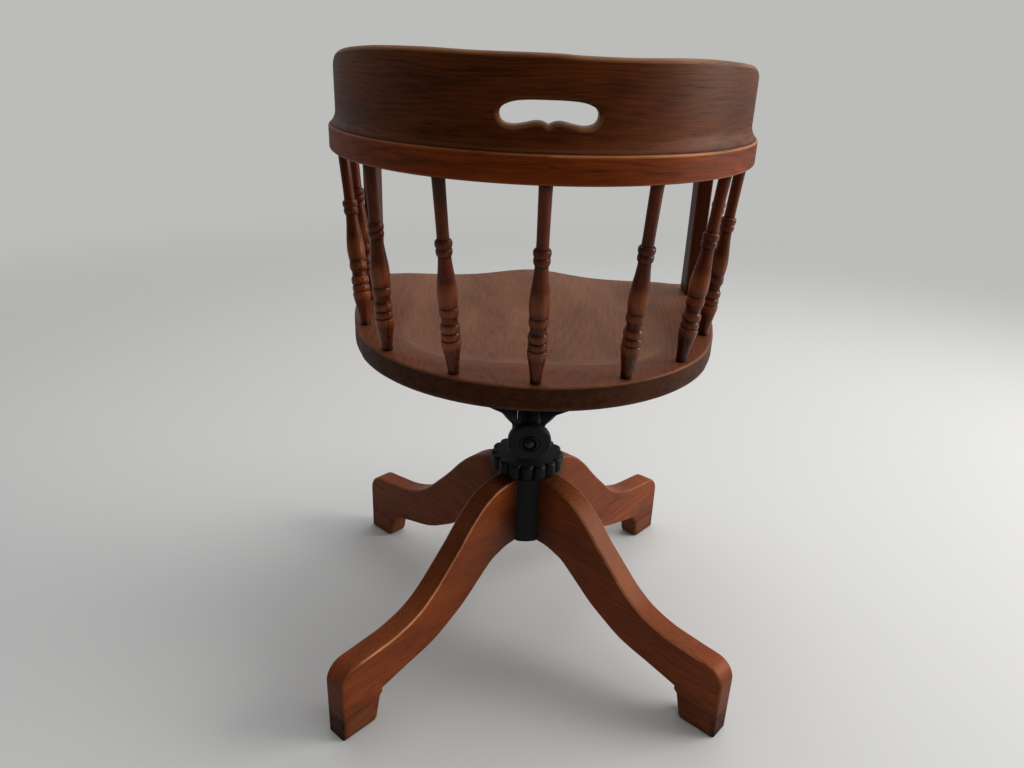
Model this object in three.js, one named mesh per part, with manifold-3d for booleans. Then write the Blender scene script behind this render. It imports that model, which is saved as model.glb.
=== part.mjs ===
// A banker's swivel chair in oak and cast iron, seen as it stands: four sawn legs round an iron hub,
// a lift screw and its handwheel, a tilting seat iron with a tension knob, a dished seat, turned
// spindles, an arm bow in two halves and a crest rail with a hand hole.
// Millimetres, +Z up, the chair's back towards +Y, so the sitter's left is +X.
// The origin is on the floor under the column's axis.
import * as THREE from "three";
import { mergeVertices } from "three/addons/utils/BufferGeometryUtils.js";
import Module from "manifold-3d";

const wasm = await Module();
wasm.setup();

// Clearances
const fitGap = 0.3; // between pieces that are glued, screwed or seated on each other
const runningGap = 0.5; // round a piece that turns or slides
const cutOverrun = 6; // how far a cutter runs past the wood or iron that it cuts

// Base: legs, foot blocks and hub
const footReach = 362; // column axis to the outer end of a foot
const legThickness = 34;
const legInnerReach = 26; // column axis to the leg's butt end in the hub
const legTopHeight = 264;
const footTopHeight = 110;
const footCornerRadius = 28;
const footBlockHeight = 36;
const footBlockLength = 56; // along the floor
const footBlockTopLength = 62;
const footBlockCornerRadius = 9;
const footNoseRise = 10; // from the foot block to where the leg's underside ends
const footNoseOverhang = 5;
const archHeight = 158; // underside of the hub and of the legs beside it
const hubRadius = 43;
const hubGuideLength = 24; // narrow top of the hub's bore, which guides the screw
const legBoltRadius = 3;
const legBoltReach = 34;

// Lift: screw, handwheel and washers
const screwRadius = 14;
const screwStandOut = 36; // from the hub's top to the shoulder that carries the seat
const screwRunIn = 8; // from the hub's underside to the screw's lower end
const spigotRadius = 10.5;
const spigotLength = 52;
const spigotGrooveDepth = 2;
const stopWasherRadius = 16.4;
const stopWasherThickness = 3;
const stopBoltHeadRadius = 8;
const stopBoltHeadHeight = 4;
const stopBoltRadius = 4;
const stopBoltLength = 16; // depth of its thread in the screw
const wheelRadius = 54;
const wheelHeight = 23;
const wheelFluteDepth = 7;
const wheelEdgeRound = 5;
const wheelWasherRadius = 36;
const wheelWasherThickness = 3;
const thrustWasherRadius = 13.8;
const thrustWasherThickness = 3;

// Tilt: yoke, pivot pin, tension rod, spring and knob
const yokeBossRadius = 24;
const yokeBossHeight = 29.4;
const yokeHalfWidth = 16.5;
const yokeHalfDepth = 18;
const pivotRise = 114.4; // from the yoke's lower end to the pivot
const pivotPinRadius = 7;
const pivotPinHeadRadius = 11;
const pivotPinHeadHeight = 4.5;
const pivotPinEnd = 3; // past the nut
const setScrewRise = 16.4; // from the yoke's lower end
const setScrewRadius = 3.5;
const setScrewHeadRadius = 5.5;
const setScrewHeadHeight = 5;
const setScrewStandOff = 2; // from the boss to the screw's head
const rodDrop = 43.8; // from the pivot to the rod's axis, where it crosses the column's axis
const rodRadius = 5;
const rodFront = 44; // from the column's axis to the rod's front end
const rodTip = 0.5; // past the locknut, with the knob wound back
const crossheadRadius = 8;
const crossheadHalfLength = 15;
const springSeatFace = 26; // rear face of the yoke's spring boss
const springSeatBossRadius = 15;
const springPlateRadius = 16.4;
const springPlateThickness = 3;
const springLength = 50;
const springRadius = 13.4; // to the middle of the wire
const springWire = 3.4;
const knobRadius = 29.4;
const knobThickness = 13;
const knobCrown = 4; // rise of its face from the rim to the recess
const knobBossRadius = 13;
const knobBossLength = 7;
const knobRecessRadius = 9.5;
const knobRecessDepth = 6;
const knobTravel = 4.5; // how far the knob can be wound back
const locknutRadius = 7.4; // to its corners
const locknutThickness = 6;

// Seat iron: crown, cheeks, crossbar and four arms
const cheekThickness = 7.5;
const cheekDrop = 76; // from the pivot to the cheeks' lower ends
const cheekRear = 22;
const cheekFront = 34;
const crownGap = 1; // over the yoke's round top
const crownThickness = 15;
const crossbarThickness = 8;
const crossbarHalfHeight = 12;
const ironArmReach = 172; // column axis to a pad's centre
const ironArmThickness = 11;
const ironPadRadius = 17;
const ironPadThickness = 7;
const seatScrewRadius = 3;
const seatScrewHeadRadius = 5.5;
const seatScrewHeadHeight = 3;
const seatScrewLength = 12; // in the seat

// Seat
const seatRise = 53; // from the pivot to the seat's underside
const seatThickness = 32;
const seatBackRadius = 239;
const seatBackCentre = 15; // the back arc's centre lies this far behind the column
const seatHalfWidth = 257;
const seatFront = 250;
const seatCornerRadius = 60;
const seatEdgeRound = 3;
const seatUnderRound = 9;
const hollowDepth = 15;
const hollowHalfWidth = 222;
const hollowRear = 205;
const hollowFront = 600; // the hollow runs out over the front edge
const frontRoll = 75; // the seat's front rolls down over this length, in front of the arm posts
const pommelHalfWidth = 76;
const pommelLength = 250;

// Spindles and arm posts
const spindleFootRadius = 226; // of the circle that the feet stand on
const spindleTopInset = 15; // from the bow's outer edge
const tenonRadius = 6.2;
const seatTenonLength = 18;
const bowTenonLength = 16;
const sideSpindleFootInset = 21; // from the seat's side
const sideSpindleFootY = -46;
const sideSpindleTopY = -62;
const postInset = 24.5; // from the seat's side to the post's inner face
const postThickness = 21;
const postFront = 165;
const postRear = 120;
const postWaist = 3; // how far each edge is sawn in at half height
const postTenonThickness = 9;
const postTenonWidth = 30;

// Arm bow and crest rail
const bowRise = 219; // from the seat's rim to the bow's underside
const bowThickness = 29;
const bowDepth = 325; // from the bow's widest place, beside the sitter, to its back
const bowCentre = -43; // the bow's widest place, from the column's axis towards the back
const bowWidth = 58;
const armOverhang = 13; // of the arm's outer edge past the seat's side
const armWidth = 72;
const armFront = 196;
const crestRise = 89; // from the bow's top
const crestSetback = 9; // from the bow's outer edge to the crest's back face
const crestFootThickness = 32;
const crestTopThickness = 20;
const crestEndHeight = 12;
const holeRise = 35.6; // from the bow's top to the hole's middle
const holeHalfWidth = 47.4;
const holeHalfHeight = 11.5;
const crestScrewRadius = 2.8;
const crestScrewHeadRadius = 5;
const crestScrewHeadHeight = 3;
const crestScrewDepth = 15; // in the crest

// Counts and angles
const legCount = 4;
const wheelLobes = 16;
const springTurns = 6;
const degree = Math.PI / 180;
const baseTurn = 3.4 * degree; // of the legs past the diagonals, as the chair stands
const rodSlope = 11 * degree; // the rod falls towards the back
const ironArmAngle = 45 * degree;
const seatArcEnd = 26 * degree; // where the seat's back arc runs into its side
const seatCornerStart = -12 * degree;
const crestHalfAngle = 86 * degree;
const crestScrewAngles = [-64, -14, 14, 64].map((angle) => angle * degree);
// Where each spindle of the back stands round the seat and round the bow, the sitter's left first
const spindleAngles = [
  [0, 0], [24, 24.8], [-26.9, -26.3], [51.5, 48], [-50.8, -52.3], [77, 79], [-79, -72],
].map(([foot, top]) => [foot * degree, top * degree]);

// Shares of the sizes above, chosen by hand.
// Leg's top edge: share of footReach, and of the rise from the foot's top to the hub's top.
const legTopShares = [
  [0.131, 0.995], [0.213, 0.968], [0.287, 0.883], [0.359, 0.737], [0.424, 0.568], [0.499, 0.393],
  [0.5635, 0.25], [0.641, 0.127], [0.74, 0.049], [0.837, 0.0195],
];
// Leg's underside, from the hub to the foot's nose: share of the nose's reach, and of the fall to it.
const legUnderShares = [
  [0.19, 0.989], [0.251, 0.945], [0.307, 0.882], [0.4, 0.69], [0.481, 0.517], [0.559, 0.387],
  [0.692, 0.208], [0.858, 0.096], [1, 0],
];
// Spindle: share of its length from the seat, then its radius as a share of spindleSwell.
const spindleSwell = 11.9;
const spindleShares = [
  [0, 0.53], [0.07, 0.64], [0.125, 0.82], [0.176, 0.95], [0.186, 0.82], [0.196, 0.9], [0.22, 0.9],
  [0.228, 0.8], [0.238, 0.92], [0.268, 0.92], [0.282, 0.76], [0.304, 0.76], [0.318, 0.9], [0.356, 0.9],
  [0.366, 0.84], [0.43, 0.95], [0.49, 0.88], [0.56, 0.7], [0.622, 0.6], [0.632, 0.74], [0.7, 0.78],
  [0.708, 0.57], [1, 0.6],
];
// Seat's side: share of seatHalfWidth, and of seatFront.
const seatSideShares = [[0.9, 0.3], [0.94, 0.13], [0.966, -0.02], [0.988, -0.22], [0.999, -0.44], [1, -0.62]];
const seatRingShares = [0.92, 0.82, 0.7, 0.5, 0.25];
const hollowFlatShare = 0.62;
const pommelRiseShare = 0.92;
// Crest's top edge from the sitter's right to the left: share of crestHalfAngle, and of crestRise.
const crestTopShares = [
  [-1, 0.2], [-0.96, 0.47], [-0.9, 0.66], [-0.83, 0.8], [-0.77, 0.87], [-0.7, 0.92], [-0.54, 0.957],
  [-0.4, 0.975], [-0.2, 0.963], [-0.08, 0.968], [0, 0.983], [0.19, 0.986], [0.32, 1], [0.45, 1],
  [0.55, 0.988], [0.675, 0.955], [0.77, 0.9], [0.83, 0.82], [0.9, 0.67], [0.96, 0.47], [1, 0.2],
];
// Hand hole, one half from the cusp below to the middle above: shares of its half width and half height.
const holeShares = [
  [0, -0.92], [0.12, -0.7], [0.27, -0.66], [0.49, -0.86], [0.73, -1], [0.93, -0.78], [1, -0.15],
  [0.93, 0.45], [0.7, 0.84], [0.37, 0.98], [0, 1],
];
// Seat iron's arm: share of ironArmReach, and of the rise from the cheeks' lower ends to the pad.
const ironArmUnderShares = [
  [0.14, 0.0], [0.2, 0.04], [0.255, 0.13], [0.33, 0.245], [0.48, 0.36], [0.67, 0.57], [0.83, 0.81],
  [0.9, 0.95], [0.945, 1],
];
const ironArmOverShares = [[0.9, 1], [0.8, 0.91], [0.66, 0.735], [0.48, 0.565], [0.34, 0.58], [0.14, 0.8]];

// Looks
const oakDark = 0x4a2212;
const oakMid = 0x6a3218;
const oakWarm = 0x7d4322;
const ironBlack = 0x16161a;
const steelGrey = 0x55565a;
const oak = (color) => ({ color, roughness: 0.42, metalness: 0 });
const iron = { color: ironBlack, roughness: 0.5, metalness: 0.7 };
const steel = { color: steelGrey, roughness: 0.4, metalness: 1 };

// Places that several pieces share, from the hub upwards
const screwTop = legTopHeight + screwStandOut;
const screwBottom = archHeight + screwRunIn;
const spigotTop = screwTop + spigotLength;
const yokeBottom = screwTop + fitGap + thrustWasherThickness + fitGap;
const yokeBossTop = yokeBottom + yokeBossHeight;
const setScrewHeight = yokeBottom + setScrewRise;
const pivotHeight = yokeBottom + pivotRise;
const rodHeight = pivotHeight - rodDrop;
const cheekBottom = pivotHeight - cheekDrop;
const crownBottom = pivotHeight + yokeHalfDepth + crownGap;
const crownTop = crownBottom + crownThickness;
const seatUnderside = pivotHeight + seatRise;
const seatTop = seatUnderside + seatThickness;
const bowUnderside = seatTop + bowRise;
const bowTop = bowUnderside + bowThickness;
const crestTop = bowTop + crestRise;
const holeCentreHeight = bowTop + holeRise;
const legBoltHeight = (legTopHeight + archHeight) / 2;
const armOuterX = seatHalfWidth + armOverhang;
const postInnerX = seatHalfWidth - postInset;
const noseHeight = footBlockHeight + fitGap + footNoseRise;
const noseReach = footReach - footBlockTopLength - footNoseOverhang;
const wheelBottom = legTopHeight + fitGap + wheelWasherThickness + fitGap;
const springFront = springSeatFace + fitGap + springPlateThickness + fitGap;
const springRear = springFront + springLength;
const knobFront = springRear + fitGap + springPlateThickness + fitGap;
const knobBack = knobFront + knobBossLength;
const knobFace = knobBack + knobThickness;
const locknutFront = knobFace - knobRecessDepth + fitGap;
const rodRear = locknutFront + locknutThickness + knobTravel + rodTip;
const cheekInner = yokeHalfWidth + runningGap;
const cheekOuter = cheekInner + cheekThickness;

const chair = new THREE.Group();
const base = new THREE.Group();
const rodLine = new THREE.Group();
base.rotation.z = baseTurn;
rodLine.position.z = rodHeight;
rodLine.rotation.x = -rodSlope;
chair.add(base, rodLine);

function place(parent, name, geometry, look) {
  const mesh = new THREE.Mesh(geometry, new THREE.MeshStandardMaterial(look));
  mesh.name = name;
  parent.add(mesh);
  return mesh;
}

// A closed three.js geometry as a solid that can be cut and joined.
function toSolid(geometry) {
  const bare = geometry.clone();
  bare.deleteAttribute("normal");
  bare.deleteAttribute("uv");
  const welded = mergeVertices(bare);
  const corners = welded.index.array;
  const kept = [];
  for (let i = 0; i < corners.length; i += 3) {
    const [a, b, c] = [corners[i], corners[i + 1], corners[i + 2]];
    if (a !== b && b !== c && c !== a) kept.push(a, b, c);
  }
  return new wasm.Manifold(
    new wasm.Mesh({
      numProp: 3,
      vertProperties: new Float32Array(welded.attributes.position.array),
      triVerts: new Uint32Array(kept),
    }),
  );
}

function toGeometry(solid) {
  const mesh = solid.getMesh();
  const geometry = new THREE.BufferGeometry();
  geometry.setAttribute("position", new THREE.BufferAttribute(new Float32Array(mesh.vertProperties), 3));
  geometry.setIndex(new THREE.BufferAttribute(new Uint32Array(mesh.triVerts), 1));
  geometry.computeVertexNormals();
  return geometry;
}

function cut(geometry, ...cutters) {
  return toGeometry(cutters.reduce((rest, cutter) => rest.subtract(toSolid(cutter)), toSolid(geometry)));
}

function join(geometry, ...others) {
  return toGeometry(others.reduce((all, other) => all.add(toSolid(other)), toSolid(geometry)));
}

// A round piece on the Z axis from a profile of [radius, height] that runs upwards.
function turned(profile, segments) {
  const points = profile.map(([r, z]) => new THREE.Vector2(r, z));
  const geometry = new THREE.LatheGeometry(points, segments);
  geometry.rotateX(Math.PI / 2);
  return toGeometry(toSolid(geometry));
}

function rod(radius, low, high, segments = 20) {
  return turned([[0, low], [radius, low], [radius, high], [0, high]], segments);
}

function ring(inner, outer, low, high, segments = 20) {
  return turned([[inner, low], [outer, low], [outer, high], [inner, high], [inner, low]], segments);
}

// A rod on any line between two points.
function rodBetween(radius, from, to, segments = 12) {
  const line = new THREE.Vector3().subVectors(to, from);
  const turn = new THREE.Quaternion().setFromUnitVectors(new THREE.Vector3(0, 0, 1), line.clone().normalize());
  return rod(radius, 0, line.length(), segments).applyQuaternion(turn).translate(from.x, from.y, from.z);
}

function box(x0, x1, y0, y1, z0, z1) {
  const geometry = new THREE.BoxGeometry(x1 - x0, y1 - y0, z1 - z0);
  return geometry.translate((x0 + x1) / 2, (y0 + y1) / 2, (z0 + z1) / 2);
}

// An outline in plan, raised from one height to another.
function raised(points, low, high) {
  const depth = high - low;
  const geometry = new THREE.ExtrudeGeometry(new THREE.Shape(points), { depth, bevelEnabled: false });
  return geometry.translate(0, 0, low);
}

// A side outline of [along, height], sawn to a thickness and centred on the XZ plane.
function sawn(shape, thickness, curveSegments = 2) {
  const geometry = new THREE.ExtrudeGeometry(shape, { depth: thickness, bevelEnabled: false, curveSegments });
  return geometry.translate(0, 0, -thickness / 2).rotateX(Math.PI / 2);
}

function arc(centreX, centreY, radius, from, to, steps) {
  return Array.from({ length: steps + 1 }, (_, i) => {
    const angle = from + ((to - from) * i) / steps;
    return new THREE.Vector2(centreX + radius * Math.cos(angle), centreY + radius * Math.sin(angle));
  });
}

const vec2 = (x, y) => new THREE.Vector2(x, y);
const vec3 = (x, y, z) => new THREE.Vector3(x, y, z);
// The bow is half an oval in plan, as wide as the arms. A place on it, so far in from its outer edge.
const onBow = (angle, inwards) =>
  vec2((armOuterX - inwards) * Math.sin(angle), bowCentre + (bowDepth - inwards) * Math.cos(angle));
const smooth = (t) => {
  const s = Math.min(Math.max(t, 0), 1);
  return s * s * (3 - 2 * s);
};

// Legs, each sawn from a board, with a foot block glued under its end
function legShape() {
  const shape = new THREE.Shape();
  const rise = legTopHeight - footTopHeight;
  const fall = archHeight - noseHeight;
  shape.moveTo(legInnerReach, archHeight);
  shape.lineTo(legInnerReach, legTopHeight);
  shape.splineThru([
    ...legTopShares.map(([s, z]) => vec2(s * footReach, footTopHeight + z * rise)),
    vec2(footReach - footCornerRadius, footTopHeight),
  ]);
  shape.absarc(
    footReach - footCornerRadius, footTopHeight - footCornerRadius, footCornerRadius, Math.PI / 2, 0, true,
  );
  shape.lineTo(footReach, footBlockHeight + fitGap);
  shape.lineTo(footReach - footBlockTopLength, footBlockHeight + fitGap);
  shape.lineTo(noseReach, noseHeight - footNoseRise / 2);
  shape.lineTo(noseReach, noseHeight);
  shape.splineThru(
    legUnderShares.slice(0, -1).reverse().map(([s, z]) => vec2(s * noseReach, noseHeight + z * fall)),
  );
  return shape;
}

function footBlockShape() {
  const toe = footReach - footBlockLength;
  const shape = new THREE.Shape();
  shape.moveTo(footReach, 0);
  shape.lineTo(footReach, footBlockHeight);
  shape.lineTo(footReach - footBlockTopLength, footBlockHeight);
  shape.lineTo(toe, footBlockCornerRadius);
  shape.quadraticCurveTo(toe, 0, toe + footBlockCornerRadius, 0);
  return shape;
}

const legBoltHalf = Math.sqrt(hubRadius ** 2 - (legBoltReach + legBoltRadius) ** 2) - fitGap;
const legBoltRod = (radius, half) =>
  rodBetween(radius, vec3(legBoltReach, -half, legBoltHeight), vec3(legBoltReach, half, legBoltHeight));
const legBoltHole = legBoltRod(legBoltRadius + fitGap, hubRadius);
const legGeometry = cut(sawn(legShape(), legThickness), legBoltHole);
const hubCutters = [];
for (let i = 0; i < legCount; i += 1) {
  const angle = ((i + 0.5) / legCount) * 2 * Math.PI;
  const corner = new THREE.Group();
  corner.rotation.z = angle;
  base.add(corner);
  place(corner, `leg_${i + 1}`, legGeometry, oak(oakMid));
  place(corner, `foot_block_${i + 1}`, sawn(footBlockShape(), legThickness), oak(oakDark));
  place(corner, `leg_bolt_${i + 1}`, legBoltRod(legBoltRadius, legBoltHalf), steel);
  const half = legThickness / 2 + fitGap;
  const channel = box(
    legInnerReach - fitGap, hubRadius + cutOverrun, -half, half,
    archHeight - cutOverrun, legTopHeight + cutOverrun,
  );
  hubCutters.push(channel.rotateZ(angle), legBoltHole.clone().rotateZ(angle));
}

// Hub: an iron sleeve with four channels for the legs; its bore is narrow at the top
const hubBore = rod(stopWasherRadius + runningGap, archHeight - cutOverrun, legTopHeight - hubGuideLength, 20);
const hubGuide = rod(screwRadius + runningGap, archHeight, legTopHeight + cutOverrun, 20);
place(base, "hub", cut(rod(hubRadius, archHeight, legTopHeight, 32), hubBore, hubGuide, ...hubCutters), iron);
const wheelWasher = ring(
  screwRadius + runningGap, wheelWasherRadius, legTopHeight + fitGap, wheelBottom - fitGap, 20,
);
place(chair, "wheel_washer", wheelWasher, steel);

// Lift screw with its spigot on top, which has a groove for the yoke's set screw,
// and the washer and bolt that stop it leaving the hub
const grooveHalf = setScrewRadius + runningGap;
const grooveRadius = spigotRadius - spigotGrooveDepth;
const screwBlank = turned(
  [[0, screwBottom], [screwRadius, screwBottom], [screwRadius, screwTop], [spigotRadius, screwTop],
    [spigotRadius, setScrewHeight - grooveHalf], [grooveRadius, setScrewHeight - grooveHalf],
    [grooveRadius, setScrewHeight + grooveHalf], [spigotRadius, setScrewHeight + grooveHalf],
    [spigotRadius, spigotTop], [0, spigotTop]],
  20,
);
const stopBoltHole = rod(
  stopBoltRadius + fitGap, screwBottom - cutOverrun, screwBottom + stopBoltLength + fitGap, 12,
);
place(chair, "lift_screw", cut(screwBlank, stopBoltHole), steel);
const stopWasherTop = screwBottom - fitGap;
const stopWasherLow = stopWasherTop - stopWasherThickness;
place(
  chair, "stop_washer",
  ring(stopBoltRadius + fitGap, stopWasherRadius, stopWasherLow, stopWasherTop), steel,
);
const stopBoltTop = stopWasherLow - fitGap;
const stopBolt = turned(
  [[0, stopBoltTop - stopBoltHeadHeight], [stopBoltHeadRadius, stopBoltTop - stopBoltHeadHeight],
    [stopBoltHeadRadius, stopBoltTop], [stopBoltRadius, stopBoltTop],
    [stopBoltRadius, screwBottom + stopBoltLength], [0, screwBottom + stopBoltLength]],
  12,
);
place(chair, "stop_bolt", stopBolt, steel);
place(
  chair, "thrust_washer",
  ring(spigotRadius + runningGap, thrustWasherRadius, screwTop + fitGap, yokeBottom - fitGap, 24), steel,
);

// Handwheel: a nut on the screw with round lobes to grip
function handwheel() {
  const steps = 4;
  const outline = new THREE.Shape(
    Array.from({ length: wheelLobes * steps }, (_, i) => {
      const angle = (i / (wheelLobes * steps)) * 2 * Math.PI;
      const swell = Math.abs(Math.cos((wheelLobes / 2) * angle)) ** 0.6;
      const radius = wheelRadius - wheelEdgeRound - wheelFluteDepth * (1 - swell);
      return vec2(radius * Math.cos(angle), radius * Math.sin(angle));
    }),
  );
  const rim = new THREE.ExtrudeGeometry(outline, {
    depth: wheelHeight - 2 * wheelEdgeRound,
    bevelSize: wheelEdgeRound,
    bevelThickness: wheelEdgeRound,
    bevelSegments: 1,
  });
  rim.translate(0, 0, wheelBottom + wheelEdgeRound);
  const top = wheelBottom + wheelHeight;
  return cut(rim, rod(screwRadius + runningGap, wheelBottom - cutOverrun, top + cutOverrun, 28));
}
place(chair, "handwheel", handwheel(), iron);

// Where the rod's own length becomes a place in the chair's frame
const onRod = (x, along, up) =>
  vec3(x, along, up).applyAxisAngle(vec3(1, 0, 0), -rodSlope).add(vec3(0, 0, rodHeight));

// Yoke: swivels on the spigot, and its tongue carries the pivot pin and the tension rod
function yoke() {
  const tongue = new THREE.Shape();
  tongue.moveTo(-yokeHalfDepth, yokeBossTop - cutOverrun);
  tongue.lineTo(yokeHalfDepth, yokeBossTop - cutOverrun);
  tongue.lineTo(yokeHalfDepth, pivotHeight);
  tongue.absarc(0, pivotHeight, yokeHalfDepth, 0, Math.PI, false);
  const tongueSolid = sawn(tongue, 2 * yokeHalfWidth, 6).rotateZ(Math.PI / 2);
  const springBoss = rodBetween(springSeatBossRadius, onRod(0, 0, 0), onRod(0, springSeatFace, 0), 24);
  const blank = join(rod(yokeBossRadius, yokeBottom, yokeBossTop, 32), tongueSolid, springBoss);
  const far = yokeHalfWidth + cutOverrun;
  return cut(
    blank,
    rod(spigotRadius + runningGap, yokeBottom - cutOverrun, spigotTop + runningGap, 24),
    rodBetween(pivotPinRadius + fitGap, vec3(-far, 0, pivotHeight), vec3(far, 0, pivotHeight), 20),
    rodBetween(rodRadius + runningGap, onRod(0, -rodFront, 0), onRod(0, springSeatFace + cutOverrun, 0), 16),
    rodBetween(
      setScrewRadius + fitGap, vec3(0, 0, setScrewHeight), vec3(0, yokeBossRadius + cutOverrun, setScrewHeight),
    ),
  );
}
place(chair, "yoke", yoke(), iron);
const setScrewHead = yokeBossRadius + setScrewStandOff;
place(
  chair, "yoke_set_screw",
  join(
    rodBetween(
      setScrewRadius, vec3(0, grooveRadius + runningGap, setScrewHeight), vec3(0, setScrewHead, setScrewHeight),
    ),
    rodBetween(
      setScrewHeadRadius, vec3(0, setScrewHead, setScrewHeight),
      vec3(0, setScrewHead + setScrewHeadHeight, setScrewHeight), 4,
    ),
  ),
  steel,
);

// Pivot pin and its nut, outside the seat iron's cheeks
const pinFace = cheekOuter + fitGap;
const nutBack = pinFace + pivotPinHeadHeight;
const acrossX = (radius, from, to, segments) =>
  rodBetween(radius, vec3(from, 0, pivotHeight), vec3(to, 0, pivotHeight), segments);
place(
  chair, "pivot_pin",
  join(
    acrossX(pivotPinRadius, -pinFace, nutBack + pivotPinEnd, 20),
    acrossX(pivotPinHeadRadius, -pinFace - pivotPinHeadHeight, -pinFace, 20),
  ),
  steel,
);
place(
  chair, "pivot_nut",
  cut(
    acrossX(pivotPinHeadRadius, pinFace, nutBack, 6),
    acrossX(pivotPinRadius + fitGap, pinFace - cutOverrun, nutBack + cutOverrun, 20),
  ),
  steel,
);

// Seat iron: a crown and two cheeks round the yoke, a crossbar that pulls the rod, four arms to the seat
function ironArm() {
  const shape = new THREE.Shape();
  const padTop = seatUnderside - fitGap;
  const rise = padTop - ironPadThickness - cheekBottom;
  const start = vec2(ironArmUnderShares[0][0] * ironArmReach, cheekBottom);
  shape.moveTo(start.x, start.y);
  shape.splineThru(ironArmUnderShares.slice(1).map(([r, z]) => vec2(r * ironArmReach, cheekBottom + z * rise)));
  shape.lineTo(ironArmReach, padTop - ironPadThickness);
  shape.lineTo(ironArmReach, padTop);
  const over = ironArmOverShares.map(([r, z]) =>
    vec2(r * ironArmReach, cheekBottom + z * (padTop - cheekBottom)));
  shape.lineTo(over[0].x, over[0].y);
  shape.splineThru(over.slice(1));
  const bar = sawn(shape, ironArmThickness, 1);
  const pad = rod(ironPadRadius, padTop - ironPadThickness, padTop, 20).translate(ironArmReach, 0, 0);
  return join(bar, pad);
}

function seatIron() {
  const cheek = new THREE.Shape();
  cheek.moveTo(-cheekFront, crownTop);
  cheek.lineTo(-cheekFront, rodHeight - crossbarHalfHeight);
  cheek.lineTo(-yokeHalfDepth, cheekBottom);
  cheek.lineTo(cheekRear, cheekBottom);
  cheek.lineTo(cheekRear, crownTop);
  const cheekSolid = (side) =>
    sawn(cheek, cheekThickness).rotateZ(Math.PI / 2).translate(side * (cheekInner + cheekThickness / 2), 0, 0);
  const crown = box(-cheekOuter, cheekOuter, -cheekFront, cheekRear, crownBottom, crownTop);
  const barMiddle = onRod(0, -cheekFront + crossbarThickness / 2, 0);
  const crossbar = box(
    -cheekOuter, cheekOuter, -crossbarThickness / 2, crossbarThickness / 2,
    -crossbarHalfHeight, crossbarHalfHeight,
  );
  crossbar.rotateX(-rodSlope).translate(barMiddle.x, barMiddle.y, barMiddle.z);
  const slotHalf = rodRadius + runningGap;
  const slot = box(
    -slotHalf, slotHalf, -crossbarThickness - cutOverrun, crossbarThickness + cutOverrun,
    -2 * crossbarHalfHeight, slotHalf,
  );
  slot.rotateX(-rodSlope).translate(barMiddle.x, barMiddle.y, barMiddle.z);
  const arms = [1, -1].flatMap((side) =>
    [ironArmAngle, Math.PI - ironArmAngle].map((angle) => ironArm().rotateZ(Math.PI / 2 - side * angle)),
  );
  const mouth = box(
    -cheekInner, cheekInner, -cheekFront - cutOverrun, cheekRear + cutOverrun,
    cheekBottom - cutOverrun, crownBottom,
  );
  const opened = cut(join(cheekSolid(1), cheekSolid(-1), crown, ...arms), mouth);
  const far = cheekOuter + cutOverrun;
  const screwHoles = ironPads().map(({ x, y }) =>
    rod(seatScrewRadius + fitGap, seatUnderside - ironPadThickness - cutOverrun, seatUnderside, 12)
      .translate(x, y, 0),
  );
  return cut(
    join(opened, crossbar),
    slot,
    rodBetween(pivotPinRadius + fitGap, vec3(-far, 0, pivotHeight), vec3(far, 0, pivotHeight), 20),
    ...screwHoles,
  );
}

function ironPads() {
  return [ironArmAngle, -ironArmAngle, Math.PI - ironArmAngle, Math.PI + ironArmAngle].map((angle) => ({
    x: ironArmReach * Math.sin(angle),
    y: ironArmReach * Math.cos(angle),
  }));
}
place(chair, "seat_iron", seatIron(), iron);

const padUnderside = seatUnderside - fitGap - ironPadThickness;
ironPads().forEach(({ x, y }, i) => {
  const headTop = padUnderside - fitGap;
  const screw = turned(
    [[0, headTop - seatScrewHeadHeight], [seatScrewHeadRadius, headTop - seatScrewHeadHeight],
      [seatScrewHeadRadius, headTop], [seatScrewRadius, headTop],
      [seatScrewRadius, seatUnderside + seatScrewLength], [0, seatUnderside + seatScrewLength]],
    12,
  );
  place(chair, `seat_screw_${i + 1}`, screw.translate(x, y, 0), steel);
});

// Tension rod and its crosshead, spring, plates, knob and locknut, all on the sloping line of the rod
const alongY = (geometry) => geometry.rotateX(-Math.PI / 2);
const crosshead = rodBetween(
  crossheadRadius, vec3(-crossheadHalfLength, 0, 0), vec3(crossheadHalfLength, 0, 0), 20,
);
const crossheadCentre = -cheekFront - fitGap - crossheadRadius;
crosshead.translate(0, crossheadCentre, 0);
const rodHole = alongY(rod(rodRadius + fitGap, -rodFront - cutOverrun, 0, 16));
place(rodLine, "rod_crosshead", cut(crosshead, rodHole), steel);
place(rodLine, "tension_rod", alongY(rod(rodRadius, -rodFront, rodRear, 16)), steel);
const plate = (low) =>
  alongY(ring(rodRadius + runningGap, springPlateRadius, low, low + springPlateThickness, 24));
place(rodLine, "spring_seat", plate(springSeatFace + fitGap), steel);
place(rodLine, "spring_plate", plate(springRear + fitGap), steel);

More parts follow.
